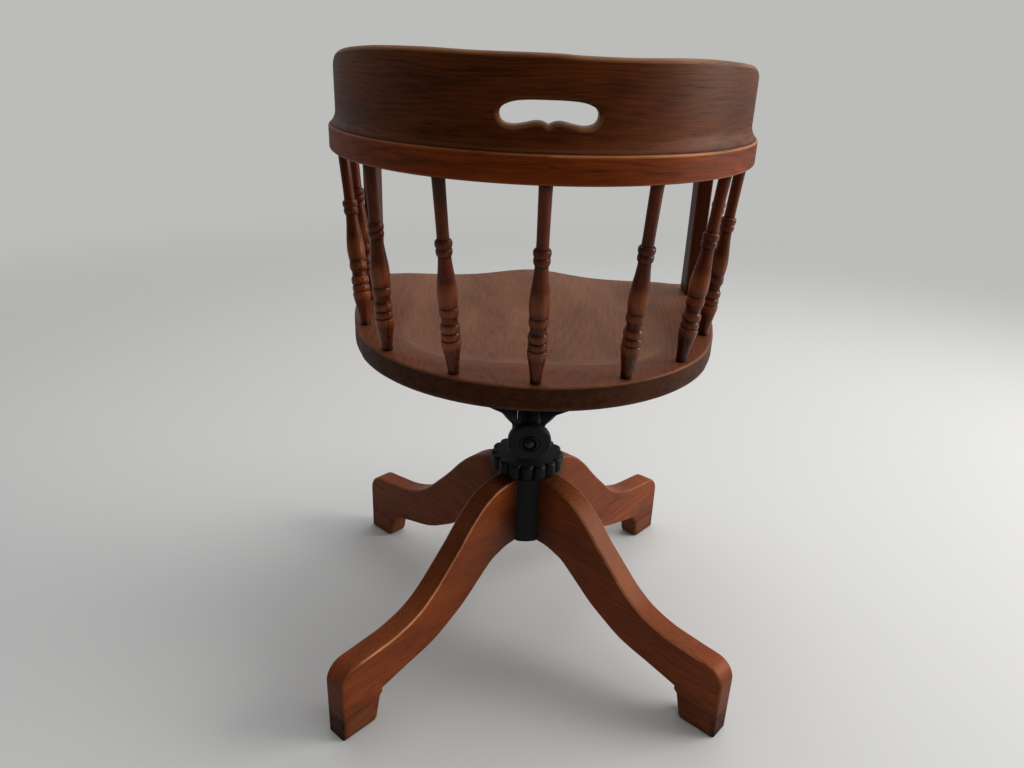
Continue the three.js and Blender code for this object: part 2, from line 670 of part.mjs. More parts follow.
// Spring: one unbroken wire; its ends stay clear of the plates
class Helix extends THREE.Curve {
  getPoint(t, target = new THREE.Vector3()) {
    const angle = t * springTurns * 2 * Math.PI;
    const along = springFront + springWire / 2 + t * (springLength - springWire);
    return target.set(springRadius * Math.cos(angle), along, springRadius * Math.sin(angle));
  }
}
const wireSides = 5;
const turnSteps = 8;
function springSolid() {
  const path = new Helix();
  const count = springTurns * turnSteps;
  const positions = [];
  const index = [];
  for (let i = 0; i <= count; i += 1) {
    const centre = path.getPoint(i / count);
    const out = vec3(centre.x, 0, centre.z).normalize();
    for (let j = 0; j < wireSides; j += 1) {
      const angle = (j / wireSides) * 2 * Math.PI;
      const radial = (springWire / 2) * Math.cos(angle);
      const along = (springWire / 2) * Math.sin(angle);
      positions.push(centre.x + out.x * radial, centre.y + along, centre.z + out.z * radial);
    }
  }
  const startCap = positions.length / 3;
  const first = path.getPoint(0);
  const last = path.getPoint(1);
  positions.push(first.x, first.y, first.z, last.x, last.y, last.z);
  for (let i = 0; i < count; i += 1) {
    for (let j = 0; j < wireSides; j += 1) {
      const k = (j + 1) % wireSides;
      const [near, far] = [i * wireSides, (i + 1) * wireSides];
      const [a, b, c, d] = [near + j, near + k, far + j, far + k];
      index.push(a, b, c, b, d, c);
    }
  }
  for (let j = 0; j < wireSides; j += 1) {
    const k = (j + 1) % wireSides;
    index.push(startCap, k, j, startCap + 1, count * wireSides + j, count * wireSides + k);
  }
  const geometry = new THREE.BufferGeometry();
  geometry.setAttribute("position", new THREE.Float32BufferAttribute(positions, 3));
  geometry.setIndex(index);
  return toGeometry(toSolid(geometry));
}

// The least gap between one coil and the next, measured on points along the wire's middle
function leastCoilGap() {
  const points = new Helix().getPoints(springTurns * turnSteps);
  const gaps = points.flatMap((a, i) => points.slice(i + turnSteps / 2).map((b) => a.distanceTo(b)));
  return Math.min(...gaps) - springWire;
}
console.log(`tension_spring: least gap to itself ${leastCoilGap().toFixed(2)} mm`);
place(rodLine, "tension_spring", springSolid(), steel);

const knobGeometry = turned(
  [
    [rodRadius + runningGap, knobFront],
    [knobBossRadius, knobFront],
    [knobBossRadius, knobBack],
    [knobRadius - knobThickness / 4, knobBack],
    [knobRadius, knobBack + knobThickness / 4],
    [knobRadius, knobFace - knobThickness / 3],
    [knobRadius - knobThickness / 3, knobFace - knobThickness / 12],
    [knobRecessRadius, knobFace + knobCrown / 2],
    [knobRecessRadius, knobFace - knobRecessDepth],
    [rodRadius + runningGap, knobFace - knobRecessDepth],
    [rodRadius + runningGap, knobFront],
  ],
  28,
);
place(rodLine, "tension_knob", alongY(knobGeometry), iron);
const locknutBack = locknutFront + locknutThickness;
place(
  rodLine, "knob_locknut",
  cut(
    alongY(rod(locknutRadius, locknutFront, locknutBack, 6)),
    alongY(rod(rodRadius + fitGap, locknutFront - cutOverrun, locknutBack + cutOverrun, 16)),
  ),
  steel,
);

// Spindles: where each stands, from the middle of the back round to the arms
const spindlePlaces = spindleAngles.map(([footAngle, topAngle]) => {
  const footX = spindleFootRadius * Math.sin(footAngle);
  const footY = seatBackCentre + spindleFootRadius * Math.cos(footAngle);
  const top = onBow(topAngle, spindleTopInset);
  return { foot: vec3(footX, footY, seatTop + fitGap), top: vec3(top.x, top.y, bowUnderside - fitGap) };
});
for (const side of [1, -1]) {
  spindlePlaces.push({
    foot: vec3(side * (seatHalfWidth - sideSpindleFootInset), sideSpindleFootY, seatTop + fitGap),
    top: vec3(side * (armOuterX - spindleTopInset), sideSpindleTopY, bowUnderside - fitGap),
  });
}

// The spindle's line carried on past its ends, for tenons and their sockets
function alongSpindle({ foot, top }, before, after, radius) {
  const line = new THREE.Vector3().subVectors(top, foot).normalize();
  return rodBetween(
    radius, foot.clone().addScaledVector(line, -before), top.clone().addScaledVector(line, after), 10,
  );
}

function spindle({ foot, top }) {
  const line = new THREE.Vector3().subVectors(top, foot);
  const length = line.length();
  const shoulderGap = spindleSwell * spindleShares[0][1] * Math.tan(line.angleTo(vec3(0, 0, 1)));
  const body = spindleShares.map(([s, r]) => [r * spindleSwell, shoulderGap + s * (length - 2 * shoulderGap)]);
  const profile = [
    [0, fitGap - seatTenonLength],
    [tenonRadius, fitGap - seatTenonLength],
    [tenonRadius, shoulderGap],
    ...body,
    [tenonRadius, length - shoulderGap],
    [tenonRadius, length + bowTenonLength - fitGap],
    [0, length + bowTenonLength - fitGap],
  ];
  const turn = new THREE.Quaternion().setFromUnitVectors(vec3(0, 0, 1), line.normalize());
  return turned(profile, 10).applyQuaternion(turn).translate(foot.x, foot.y, foot.z);
}
spindlePlaces.forEach((ends, i) => place(chair, `spindle_${i + 1}`, spindle(ends), oak(oakWarm)));

// Arm posts: flat sawn boards, tenoned into the seat and the arms
const postMiddle = -(postFront + postRear) / 2;
const postCentreX = postInnerX + postThickness / 2;
function post(side) {
  const low = seatTop + fitGap;
  const high = bowUnderside - fitGap;
  const half = (low + high) / 2;
  const shape = new THREE.Shape();
  shape.moveTo(-postFront, low);
  shape.quadraticCurveTo(-postFront + 2 * postWaist, half, -postFront, high);
  shape.lineTo(-postRear, high);
  shape.quadraticCurveTo(-postRear - 2 * postWaist, half, -postRear, low);
  const board = sawn(shape, postThickness, 4).rotateZ(Math.PI / 2).translate(side * postCentreX, 0, 0);
  return join(board, postTenon(side, fitGap - seatTenonLength, bowTenonLength - fitGap, 0));
}

function postTenon(side, below, above, gap) {
  const halfX = postTenonThickness / 2 + gap;
  const halfY = postTenonWidth / 2 + gap;
  const centre = side * postCentreX;
  return box(
    centre - halfX, centre + halfX, postMiddle - halfY, postMiddle + halfY,
    seatTop + below, bowUnderside + above,
  );
}
place(chair, "arm_post_left", post(1), oak(oakMid));
place(chair, "arm_post_right", post(-1), oak(oakMid));

// Seat: its outline in plan, the side at +X first
function seatOutline() {
  const half = [
    ...arc(0, seatBackCentre, seatBackRadius, Math.PI / 2, seatArcEnd, 9),
    ...seatSideShares.map(([x, y]) => vec2(x * seatHalfWidth, y * seatFront)),
    ...arc(
      seatHalfWidth - seatCornerRadius, seatCornerRadius - seatFront, seatCornerRadius, seatCornerStart,
      -Math.PI / 2, 4,
    ),
    vec2(seatHalfWidth / 3, -seatFront),
  ];
  const otherHalf = half.slice(1).reverse().map(({ x, y }) => vec2(-x, y));
  return [...half, vec2(0, -seatFront), ...otherHalf].reverse();
}

function inset(points, distance) {
  return points.map((point, i) => {
    const before = points[(i + points.length - 1) % points.length];
    const after = points[(i + 1) % points.length];
    const along = vec2(after.x - before.x, after.y - before.y).normalize();
    return vec2(point.x - along.y * distance, point.y + along.x * distance);
  });
}

function hollow(x, y) {
  const reach = y > 0 ? hollowRear : hollowFront;
  const out = (Math.abs(x / hollowHalfWidth) ** 3 + Math.abs(y / reach) ** 3) ** (1 / 3);
  const bowl = 1 - smooth((out - hollowFlatShare) / (1 - hollowFlatShare));
  const roll = smooth((frontRoll - seatFront - y) / frontRoll);
  const pommel = Math.exp(-((x / pommelHalfWidth) ** 2)) * smooth(-y / pommelLength);
  return hollowDepth * Math.max(bowl, roll) * (1 - pommelRiseShare * pommel);
}

// Rings of points from the underside's middle, out round the edge and in over the dished top
function seatSolid() {
  const outline = seatOutline();
  const rings = [
    inset(outline, seatUnderRound).map(({ x, y }) => [x, y, seatUnderside]),
    outline.map(({ x, y }) => [x, y, seatUnderside + seatUnderRound]),
    outline.map(({ x, y }) => [x, y, seatTop - seatEdgeRound - hollow(x, y)]),
    inset(outline, seatEdgeRound).map(({ x, y }) => [x, y, seatTop - hollow(x, y)]),
    ...seatRingShares.map((share) =>
      inset(outline, seatEdgeRound)
        .map(({ x, y }) => [x * share, y * share, seatTop - hollow(x * share, y * share)])),
  ];
  const n = outline.length;
  const positions = [0, 0, seatUnderside, 0, 0, seatTop - hollow(0, 0), ...rings.flat(2)];
  const index = [];
  for (let i = 0; i < n; i += 1) {
    const j = (i + 1) % n;
    index.push(0, 2 + j, 2 + i);
    const last = 2 + (rings.length - 1) * n;
    index.push(1, last + i, last + j);
    for (let r = 0; r < rings.length - 1; r += 1) {
      const [low, high] = [2 + r * n, 2 + (r + 1) * n];
      index.push(low + i, low + j, high + i, low + j, high + j, high + i);
    }
  }
  const geometry = new THREE.BufferGeometry();
  geometry.setAttribute("position", new THREE.Float32BufferAttribute(positions, 3));
  geometry.setIndex(index);
  return geometry;
}

const seatSockets = spindlePlaces.map((ends) => alongSpindle(ends, seatTenonLength, 0, tenonRadius + fitGap));
const seatMortises = [1, -1].map((side) => postTenon(side, -seatTenonLength, 0, fitGap));
const seatScrewHoles = ironPads().map(({ x, y }) =>
  rod(seatScrewRadius + fitGap, seatUnderside - cutOverrun, seatUnderside + seatScrewLength + fitGap, 12)
    .translate(x, y, 0),
);
place(chair, "seat", cut(seatSolid(), ...seatSockets, ...seatMortises, ...seatScrewHoles), oak(oakMid));

// Arm bow: two halves that meet behind the sitter, under the crest
function armOutline(side) {
  const noseRadius = armWidth / 2;
  const noseX = armOuterX - noseRadius;
  const noseY = noseRadius - armFront;
  const steps = 18;
  const turns = Array.from({ length: steps + 1 }, (_, i) => ((i / steps) * Math.PI) / 2);
  const outer = turns.map((angle) => onBow(angle, 0));
  const inner = turns.map((angle) => onBow(angle, bowWidth)).reverse();
  const nose = arc(noseX, noseY, noseRadius, 0, -Math.PI, 12);
  const points = [...outer, ...nose, vec2(noseX - noseRadius, (bowCentre + noseY) / 2), ...inner];
  return points.map(({ x, y }) => vec2(side * Math.max(x, 0), y));
}

const crestScrewPlaces = crestScrewAngles.map((angle) => onBow(angle, crestSetback + crestFootThickness / 2));
const bowSockets = spindlePlaces.map((ends) => alongSpindle(ends, 0, bowTenonLength, tenonRadius + fitGap));
const bowMortises = [1, -1].map((side) => postTenon(side, 0, bowTenonLength, fitGap));
const screwSeatTop = bowUnderside + crestScrewHeadHeight + fitGap;
const bowScrewHoles = crestScrewPlaces.flatMap(({ x, y }) => [
  rod(crestScrewRadius + fitGap, bowUnderside - cutOverrun, bowTop + cutOverrun, 12).translate(x, y, 0),
  rod(crestScrewHeadRadius + fitGap, bowUnderside - cutOverrun, screwSeatTop, 12).translate(x, y, 0),
]);
function arm(side) {
  const blank = raised(armOutline(side), bowUnderside, bowTop);
  return cut(blank, ...bowSockets, ...bowMortises, ...bowScrewHoles);
}
place(chair, "arm_left", arm(1), oak(oakMid));
place(chair, "arm_right", arm(-1), oak(oakMid));
crestScrewPlaces.forEach(({ x, y }, i) => {
  const low = bowUnderside + fitGap;
  const headTop = low + crestScrewHeadHeight - fitGap;
  const high = bowTop + crestScrewDepth;
  const screw = turned(
    [[0, low], [crestScrewHeadRadius, low], [crestScrewHeadRadius, headTop], [crestScrewRadius, headTop],
      [crestScrewRadius, high], [0, high]],
    12,
  );
  place(chair, `crest_screw_${i + 1}`, screw.translate(x, y, 0), steel);
});

// Crest rail: a bent board that thins towards its top, swept down at both ends
function crestHeight(share) {
  const at = crestTopShares.findIndex(([s]) => s >= share);
  if (at <= 0) return crestTopShares[0][1];
  const [s0, h0] = crestTopShares[at - 1];
  const [s1, h1] = crestTopShares[at];
  return h0 + ((h1 - h0) * (share - s0)) / (s1 - s0);
}

function crestSolid() {
  const foot = bowTop + fitGap;
  const full = crestTop - foot;
  const steps = 44;
  const positions = [];
  for (let i = 0; i <= steps; i += 1) {
    const turn = (2 * i) / steps - 1;
    const angle = turn * crestHalfAngle;
    const high = foot + Math.max(full * crestHeight(turn), crestEndHeight);
    const thin = (z) => crestFootThickness - ((crestFootThickness - crestTopThickness) * (z - foot)) / full;
    const edge = crestTopThickness / 3;
    const section = [
      [0, foot],
      [0, high - edge],
      [edge / 3, high - edge / 3],
      [edge, high],
      [thin(high) - edge, high],
      [thin(high) - edge / 3, high - edge / 3],
      [thin(high - edge), high - edge],
      [thin(foot), foot],
    ];
    for (const [inwards, z] of section) {
      const { x, y } = onBow(angle, crestSetback + inwards);
      positions.push(x, y, z);
    }
  }
  const sides = 8;
  const index = [];
  for (let j = 1; j < sides - 1; j += 1) {
    const last = steps * sides;
    index.push(0, j + 1, j, last, last + j, last + j + 1);
  }
  for (let i = 0; i < steps; i += 1) {
    for (let j = 0; j < sides; j += 1) {
      const k = (j + 1) % sides;
      const [a, b] = [i * sides, (i + 1) * sides];
      index.push(a + j, a + k, b + j, a + k, b + k, b + j);
    }
  }
  const geometry = new THREE.BufferGeometry();
  geometry.setAttribute("position", new THREE.Float32BufferAttribute(positions, 3));
  geometry.setIndex(index);
  return geometry;
}

function handHole() {
  const shape = new THREE.Shape();
  const half = holeShares.map(([x, z]) => vec2(x * holeHalfWidth, holeCentreHeight + z * holeHalfHeight));
  const otherHalf = half.slice(0, -1).reverse().map(({ x, y }) => vec2(-x, y));
  shape.moveTo(half[0].x, half[0].y);
  shape.splineThru(half.slice(1));
  shape.splineThru(otherHalf);
  return sawn(shape, 4 * crestFootThickness, 2).translate(0, onBow(0, crestSetback).y, 0);
}

const crestHoles = crestScrewPlaces.map(({ x, y }) =>
  rod(crestScrewRadius + fitGap, bowTop - cutOverrun, bowTop + crestScrewDepth + fitGap, 12).translate(x, y, 0),
);
place(chair, "crest_rail", cut(crestSolid(), handHole(), ...crestHoles), oak(oakDark));

export default chair;
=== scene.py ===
import math

import bmesh
import bpy
import numpy as np
from mathutils import Matrix, Vector
from mathutils.geometry import delaunay_2d_cdt


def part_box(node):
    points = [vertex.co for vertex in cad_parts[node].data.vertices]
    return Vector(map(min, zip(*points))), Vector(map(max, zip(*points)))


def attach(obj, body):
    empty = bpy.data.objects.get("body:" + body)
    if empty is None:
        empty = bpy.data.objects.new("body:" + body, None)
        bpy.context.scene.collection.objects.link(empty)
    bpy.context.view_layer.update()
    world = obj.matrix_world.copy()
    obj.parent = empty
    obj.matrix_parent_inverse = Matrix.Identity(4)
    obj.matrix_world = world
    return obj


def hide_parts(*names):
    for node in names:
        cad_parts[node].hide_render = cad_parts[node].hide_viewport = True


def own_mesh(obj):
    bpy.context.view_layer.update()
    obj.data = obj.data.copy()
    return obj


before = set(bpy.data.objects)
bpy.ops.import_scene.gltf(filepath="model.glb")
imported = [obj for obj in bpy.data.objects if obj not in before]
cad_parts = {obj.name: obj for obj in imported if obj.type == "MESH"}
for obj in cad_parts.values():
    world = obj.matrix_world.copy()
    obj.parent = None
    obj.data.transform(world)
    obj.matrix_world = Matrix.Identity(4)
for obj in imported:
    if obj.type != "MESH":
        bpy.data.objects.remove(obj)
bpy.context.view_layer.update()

mm = 0.001
picture_width = 1024
eye = Vector((0.0240, 1.0392, 0.8410))
eye_focal_pixels = 785.8
eye_turn = 0.0023
eye_fall = 0.4034
eye_roll = -0.036
floor_reach = 40.0
floor_colour = (198, 200, 202)
room_colour = (188, 188, 186)
room_light = (238, 236, 232)
room_front = 0.5
room_behind = 0.1
room_side = 0.5
fade_start = 1.3
fade_end = 3.4


def colour(red, green, blue):
    """A colour as Blender's shaders want it, from the numbers that a screen shows."""
    shares = [c / 255 for c in (red, green, blue)]
    return (*[s / 12.92 if s <= 0.04045 else ((s + 0.055) / 1.055) ** 2.4 for s in shares], 1.0)


def new_material(name):
    """A material, its node tree and its shader."""
    material = bpy.data.materials.new(name)
    material.use_nodes = True
    tree = material.node_tree
    return material, tree, tree.nodes["Principled BSDF"]


def node(tree, kind, settings=None, **inputs):
    """A node with its settings, and its inputs wired from a socket or set to a value."""
    made = tree.nodes.new("ShaderNode" + kind)
    for key, value in (settings or {}).items():
        setattr(made, key, value)
    for key, value in inputs.items():
        socket = made.inputs[int(key[1:]) if key[1:].isdigit() else key.replace("_", " ")]
        if isinstance(value, bpy.types.NodeSocket):
            tree.links.new(value, socket)
        else:
            socket.default_value = value
    return made


def maths(tree, operation, *terms):
    """One Math node's result."""
    inputs = {f"i{i}": term for i, term in enumerate(terms)}
    return node(tree, "Math", {"operation": operation}, **inputs).outputs[0]


def plus(tree, first, second):
    """The sum of two values."""
    return maths(tree, "ADD", first, second)


def times(tree, first, second):
    """The product of two values."""
    return maths(tree, "MULTIPLY", first, second)


def share_between(tree, value, low, high, eased=False, **more):
    """How far a value has come from one level to another, from 0 to 1 unless more says otherwise."""
    way = {"interpolation_type": "SMOOTHSTEP" if eased else "LINEAR"}
    return node(tree, "MapRange", way, Value=value, From_Min=low, From_Max=high, **more).outputs[0]


level_forward = Vector((math.sin(eye_turn), -math.cos(eye_turn), 0))
forward = level_forward * math.cos(eye_fall) - Vector((0, 0, 1)) * math.sin(eye_fall)
right = forward.cross(Vector((0, 0, 1))).normalized()
down = forward.cross(right)
right, down = (
    right * math.cos(eye_roll) + down * math.sin(eye_roll),
    down * math.cos(eye_roll) - right * math.sin(eye_roll),
)
camera = bpy.data.objects.new("camera", bpy.data.cameras.new("camera"))
camera.data.lens = eye_focal_pixels / picture_width * camera.data.sensor_width
facing = Matrix((right, -down, -forward)).transposed().to_4x4()
camera.matrix_world = Matrix.Translation(eye) @ facing
bpy.context.collection.objects.link(camera)
bpy.context.scene.camera = camera

floor_mesh = bpy.data.meshes.new("floor")
floor_corners = [(x * floor_reach, y * floor_reach, 0) for x, y in ((-1, -1), (1, -1), (1, 1), (-1, 1))]
floor_mesh.from_pydata(floor_corners, [], [(0, 1, 2, 3)])
floor = bpy.data.objects.new("floor", floor_mesh)
bpy.context.collection.objects.link(floor)
floor_material, tree, shader = new_material("floor_paint")
shader.inputs["Base Color"].default_value = colour(*floor_colour)
shader.inputs["Roughness"].default_value = 0.9
shader.inputs["Specular IOR Level"].default_value = 0.2
spot = node(tree, "NewGeometry").outputs["Position"]
away = node(tree, "VectorMath", {"operation": "LENGTH"}, i0=spot).outputs["Value"]
fade = share_between(tree, away, fade_start, fade_end, eased=True)
fade = times(tree, fade, node(tree, "LightPath").outputs["Is Camera Ray"])
distance = node(tree, "Emission", Color=colour(*room_colour))
either = node(tree, "MixShader", i0=fade, i1=shader.outputs[0], i2=distance.outputs[0])
tree.links.new(either.outputs[0], tree.nodes["Material Output"].inputs["Surface"])
floor_mesh.materials.append(floor_material)

world = bpy.data.worlds.new("room")
bpy.context.scene.world = world
world.use_nodes = True
tree = world.node_tree
seen = node(tree, "Background", Color=colour(*room_colour), Strength=1.0)
looks = node(tree, "SeparateXYZ", Vector=node(tree, "TexCoord").outputs["Generated"]).outputs
away = share_between(tree, looks["Y"], -0.5, 0.7, eased=True, To_Min=room_front, To_Max=room_behind)
aside = share_between(tree, looks["X"], -0.2, -1.0, To_Min=0.0, To_Max=room_side)
cast = node(tree, "Background", Color=colour(*room_light), Strength=plus(tree, away, aside))
direct = node(tree, "LightPath").outputs["Is Camera Ray"]
either = node(tree, "MixShader", i0=direct, i1=cast.outputs[0], i2=seen.outputs[0])
tree.links.new(either.outputs[0], tree.nodes["World Output"].inputs["Surface"])


def soft_light(name, place, aim, width, watts, tint):
    """A square soft light that looks at a point."""
    lamp = bpy.data.lights.new(name, "AREA")
    lamp.size = width
    lamp.energy = watts
    lamp.color = colour(*tint)[:3]
    holder = bpy.data.objects.new(name, lamp)
    holder.location = place
    holder.rotation_euler = (Vector(aim) - Vector(place)).to_track_quat("-Z", "Y").to_euler()
    bpy.context.collection.objects.link(holder)


soft_light(
    "ceiling", place=(-0.7, -0.5, 3.1), aim=(0, 0, 0), width=4.0, watts=86, tint=(255, 252, 250),
)
soft_light(
    "window", place=(-2.9, -0.1, 1.5), aim=(0, 0, 0.45), width=1.6, watts=62, tint=(255, 250, 242),
)
bpy.context.scene.view_settings.view_transform = "Standard"


# Legs: four oak boards sawn to an ogee, let into the iron hub by their butt ends. Their arrises
# are rounded, and the varnish is rubbed pale along them, on some legs more than on others.
def curve_through(points, steps):
    """A smooth line through points, with so many steps from each to the next."""
    line = []
    last = len(points) - 1
    for i in range(last):
        near_by = [Vector(points[min(max(j, 0), last)]) for j in range(i - 1, i + 3)]
        before, start, end, after = near_by
        leave, arrive = (end - before) / 2, (after - start) / 2
        for k in range(steps):
            t = k / steps
            line.append(
                (2 * start - 2 * end + leave + arrive) * t ** 3
                + (3 * end - 3 * start - 2 * leave - arrive) * t ** 2 + leave * t + start
            )
    return line + [Vector(points[-1])]


def ramp(values, start, end):
    """How far values have come from a start to an end, from 0 to 1."""
    return np.clip((values - start) / (end - start), 0, 1)


def joined(rings):
    """The faces from each ring to the next, a ring being the numbers of its corners."""
    faces = []
    for lower, upper in zip(rings, rings[1:]):
        for k in range(len(lower)):
            n = (k + 1) % len(lower)
            faces.append((lower[k], lower[n], upper[n], upper[k]))
    return faces


def numbered(count, size):
    """So many rings of corners that are numbered one ring after another."""
    return [range(r * size, (r + 1) * size) for r in range(count)]


def arc(centre, radius, start, end, steps):
    """Points on an arc, its angles in radians."""
    angles = np.linspace(start, end, steps + 1)
    return [Vector((centre[0] + radius * math.cos(a), centre[1] + radius * math.sin(a))) for a in angles]


def inset(outline, distance, shares=None):
    """A closed outline that runs the other way round from a clock, moved inwards.

    Each edge can take its own share of the distance. An edge has the number of its first point.
    """
    moved = []
    for i, point in enumerate(outline):
        back = (point - outline[i - 1]).normalized()
        on = (outline[(i + 1) % len(outline)] - point).normalized()
        before, after = [distance * (shares[j] if shares else 1) for j in (i - 1, i)]
        turn = back.x * on.y - back.y * on.x
        if abs(turn) > 0.2:
            moved.append(point + (on * before - back * after) / turn)
        else:
            across = Vector((-back.y - on.y, back.x + on.x)).normalized()
            moved.append(point + across * (before + after) / 2)
    return moved


def within(spot, loop):
    """Whether a point lies in a round loop that runs the other way round from a clock."""
    return bool(loop) and all((b - a).cross(spot - a) > 0 for a, b in zip(loop, loop[1:] + loop[:1]))


def even_fill(outline, spacing, bore=()):
    """A flat face over an even grid of corners: its triangles, and the corners that the grid adds.

    The triangles count the outline's points first, then the bore's, then the added corners, and
    leave the bore open.
    """
    edge = list(outline) + list(bore)
    loops = [(k, (k + 1) % len(outline)) for k in range(len(outline))]
    first = len(outline)
    loops += [(first + k, first + (k + 1) % len(bore)) for k in range(len(bore))]
    starts = np.array([edge[a] for a, _ in loops])
    runs = np.array([edge[b] for _, b in loops]) - starts
    low, high = starts.min(0), starts.max(0)
    grid = []
    for x in np.arange(low[0] + spacing / 2, high[0], spacing):
        for y in np.arange(low[1] + spacing / 2, high[1], spacing):
            off = np.array((x, y)) - starts
            share = np.clip((off * runs).sum(1) / (runs * runs).sum(1), 0, 1)
            clear = np.hypot(*(off - share[:, None] * runs).T).min() > 0.45 * spacing
            if clear and not within(Vector((x, y)), bore):
                grid.append(Vector((x, y)))
    corners, _, triangles, origins, _, _ = delaunay_2d_cdt(edge + grid, loops, [], 2, 1e-7)
    used = sorted({k for triangle in triangles for k in triangle if min(origins[k]) >= len(edge)})
    number = {k: len(edge) + n for n, k in enumerate(used)}
    for k, origin in enumerate(origins):
        if origin and min(origin) < len(edge):
            number[k] = min(origin)
    bore_corners = set(range(first, len(edge)))
    filled = [[number[k] for k in triangle] for triangle in triangles]
    return [t for t in filled if not bore_corners.issuperset(t)], [corners[k] for k in used]


def rounded_board(
    outline, low, high, arris, lift, joint=None, bore=(), wider_bore=(), narrows_at=0,
    spacing=7 * mm, steps=4,
):
    """A board sawn to an outline, its arrises rounded: corners, faces, and how near each is to an arris.

    lift turns a point of the outline and a height into a place. joint tells of two neighbouring
    points whether the edge between them is glued to another board, and so stays square. A bore
    can start wider at the low face and narrow at a height.
    """
    if sum(a.cross(b) for a, b in zip(outline, outline[1:] + outline[:1])) < 0:
        outline = outline[::-1]
    edges = zip(outline, outline[1:] + outline[:1])
    shares = [0.0 if joint and joint(a, b) else 1.0 for a, b in edges]
    count = len(outline)
    sections = []
    for a in [k / steps * math.pi / 2 for k in range(steps + 1)]:
        inwards, rise = arris * (1 - math.sin(a)), arris * (1 - math.cos(a))
        sections.append((inwards, low + rise, math.sin(2 * a)))
    sections += [(inwards, low + high - z, near) for inwards, z, near in reversed(sections)]
    places, near_arris = [], []
    for inwards, z, near in sections:
        places += [lift(*p, z) for p in inset(outline, inwards, shares)]
        near_arris += [near * (shares[k - 1] + shares[k]) / 2 for k in range(count)]
    faces = joined(numbered(len(sections), count))
    triangles, added = even_fill(inset(outline, arris, shares), spacing, bore)
    ends = []
    for first, z in ((0, low), (len(sections) * count - count, high)):
        own = [first + k for k in range(count)]
        own += [len(places) + k for k in range(len(bore) + len(added))]
        places += [lift(*p, z) for p in [*bore, *added]]
        near_arris += [0] * (len(bore) + len(added))
        faces += [[own[k] for k in triangle] for triangle in triangles]
        ends.append(own[count:count + len(bore)])
    walls = [ends[0]]
    for k, spot in zip(ends[0], wider_bore):
        places[k] = lift(*spot, low)
    for ring in (wider_bore, bore) if wider_bore else ():
        walls.append([len(places) + k for k in range(len(bore))])
        places += [lift(*p, narrows_at) for p in ring]
        near_arris += [0] * len(bore)
    walls.append(ends[1])
    return places, faces + joined(walls), near_arris


def outward(mesh):
    """Turns a closed mesh's faces so that they all look out, and drops corners that no face uses."""
    work = bmesh.new()
    work.from_mesh(mesh)
    bmesh.ops.delete(work, geom=[v for v in work.verts if not v.link_faces], context="VERTS")
    bmesh.ops.recalc_face_normals(work, faces=work.faces)
    work.to_mesh(mesh)
    work.free()


def piece(name, places, faces, material, body, nodes, marks=None, crease=38):
    """A piece of the chair: its mesh, its marks for the material, and what it stands for."""
    mesh = bpy.data.meshes.new(name)
    mesh.from_pydata([tuple(p) for p in places], [], faces)
    for mark, values in (marks or {}).items():
        flat = np.asarray(values, np.float32)
        if flat.ndim == 2:
            mesh.attributes.new(mark, "FLOAT_VECTOR", "POINT").data.foreach_set("vector", flat.ravel())
        else:
            mesh.attributes.new(mark, "FLOAT", "POINT").data.foreach_set("value", flat)
    outward(mesh)
    mesh.materials.append(material)
    mesh.shade_smooth()
    mesh.set_sharp_from_angle(angle=math.radians(crease))
    made = bpy.data.objects.new(name, mesh)
    bpy.context.collection.objects.link(made)
    weigh = made.modifiers.new("face_weights", "WEIGHTED_NORMAL")
    weigh.keep_sharp = True
    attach(made, body)
    if nodes:
        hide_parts(*nodes)
    return made


def effect(name, inputs, outputs):
    """A node group with named inputs and outputs, with its two end nodes."""
    group = bpy.data.node_groups.new(name, "ShaderNodeTree")
    kinds = {"value": "NodeSocketFloat", "colour": "NodeSocketColor", "vector": "NodeSocketVector"}
    for label, kind, start in inputs:
        made = group.interface.new_socket(label, in_out="INPUT", socket_type=kinds[kind])
        if start is not None:
            made.default_value = start
    for label, kind in outputs:
        group.interface.new_socket(label, in_out="OUTPUT", socket_type=kinds[kind])
    return group, group.nodes.new("NodeGroupInput"), group.nodes.new("NodeGroupOutput")


# The oak's grain: rings round a pith that lies under the board, long open pores, the varnish's wear with
# painted highlights, and grime with painted shade.
oak, given, result = effect(
    "oak_grain",
    [
        ("Grain", "vector", None), ("Wear_And_Highlight", "value", 0), ("Dirt_And_Shade", "value", 0),
        ("Light", "colour", None), ("Dark", "colour", None), ("Worn_And_Highlight", "colour", None),
        ("Grime_And_Shade", "colour", None), ("Rings", "value", 300), ("Pith Depth", "value", 0.05),
        ("Taper", "value", 0.1), ("Figure", "value", 1), ("Stain", "value", 0.5),
    ],
    [("Colour", "colour"), ("Roughness", "value"), ("Height", "value")],
)
along, across, depth = node(oak, "SeparateXYZ", Vector=given.outputs["Grain"]).outputs[:3]


def stretched(long, wide, detail, roughness=0.55):
    """Noise drawn out along the grain: how many turns it takes in a metre along it and across it."""
    vector = node(
        oak, "CombineXYZ",
        X=times(oak, along, long), Y=times(oak, across, wide), Z=times(oak, depth, wide),
    )
    noise = node(
        oak, "TexNoise", Vector=vector.outputs[0], Scale=1.0, Detail=detail, Roughness=roughness,
    )
    return noise.outputs["Fac"]


def blend(tree, share, first, second):
    """One colour turned into another by a share."""
    mix = node(tree, "Mix", {"data_type": "RGBA"}, Factor=share, i6=first, i7=second)
    return mix.outputs[2]


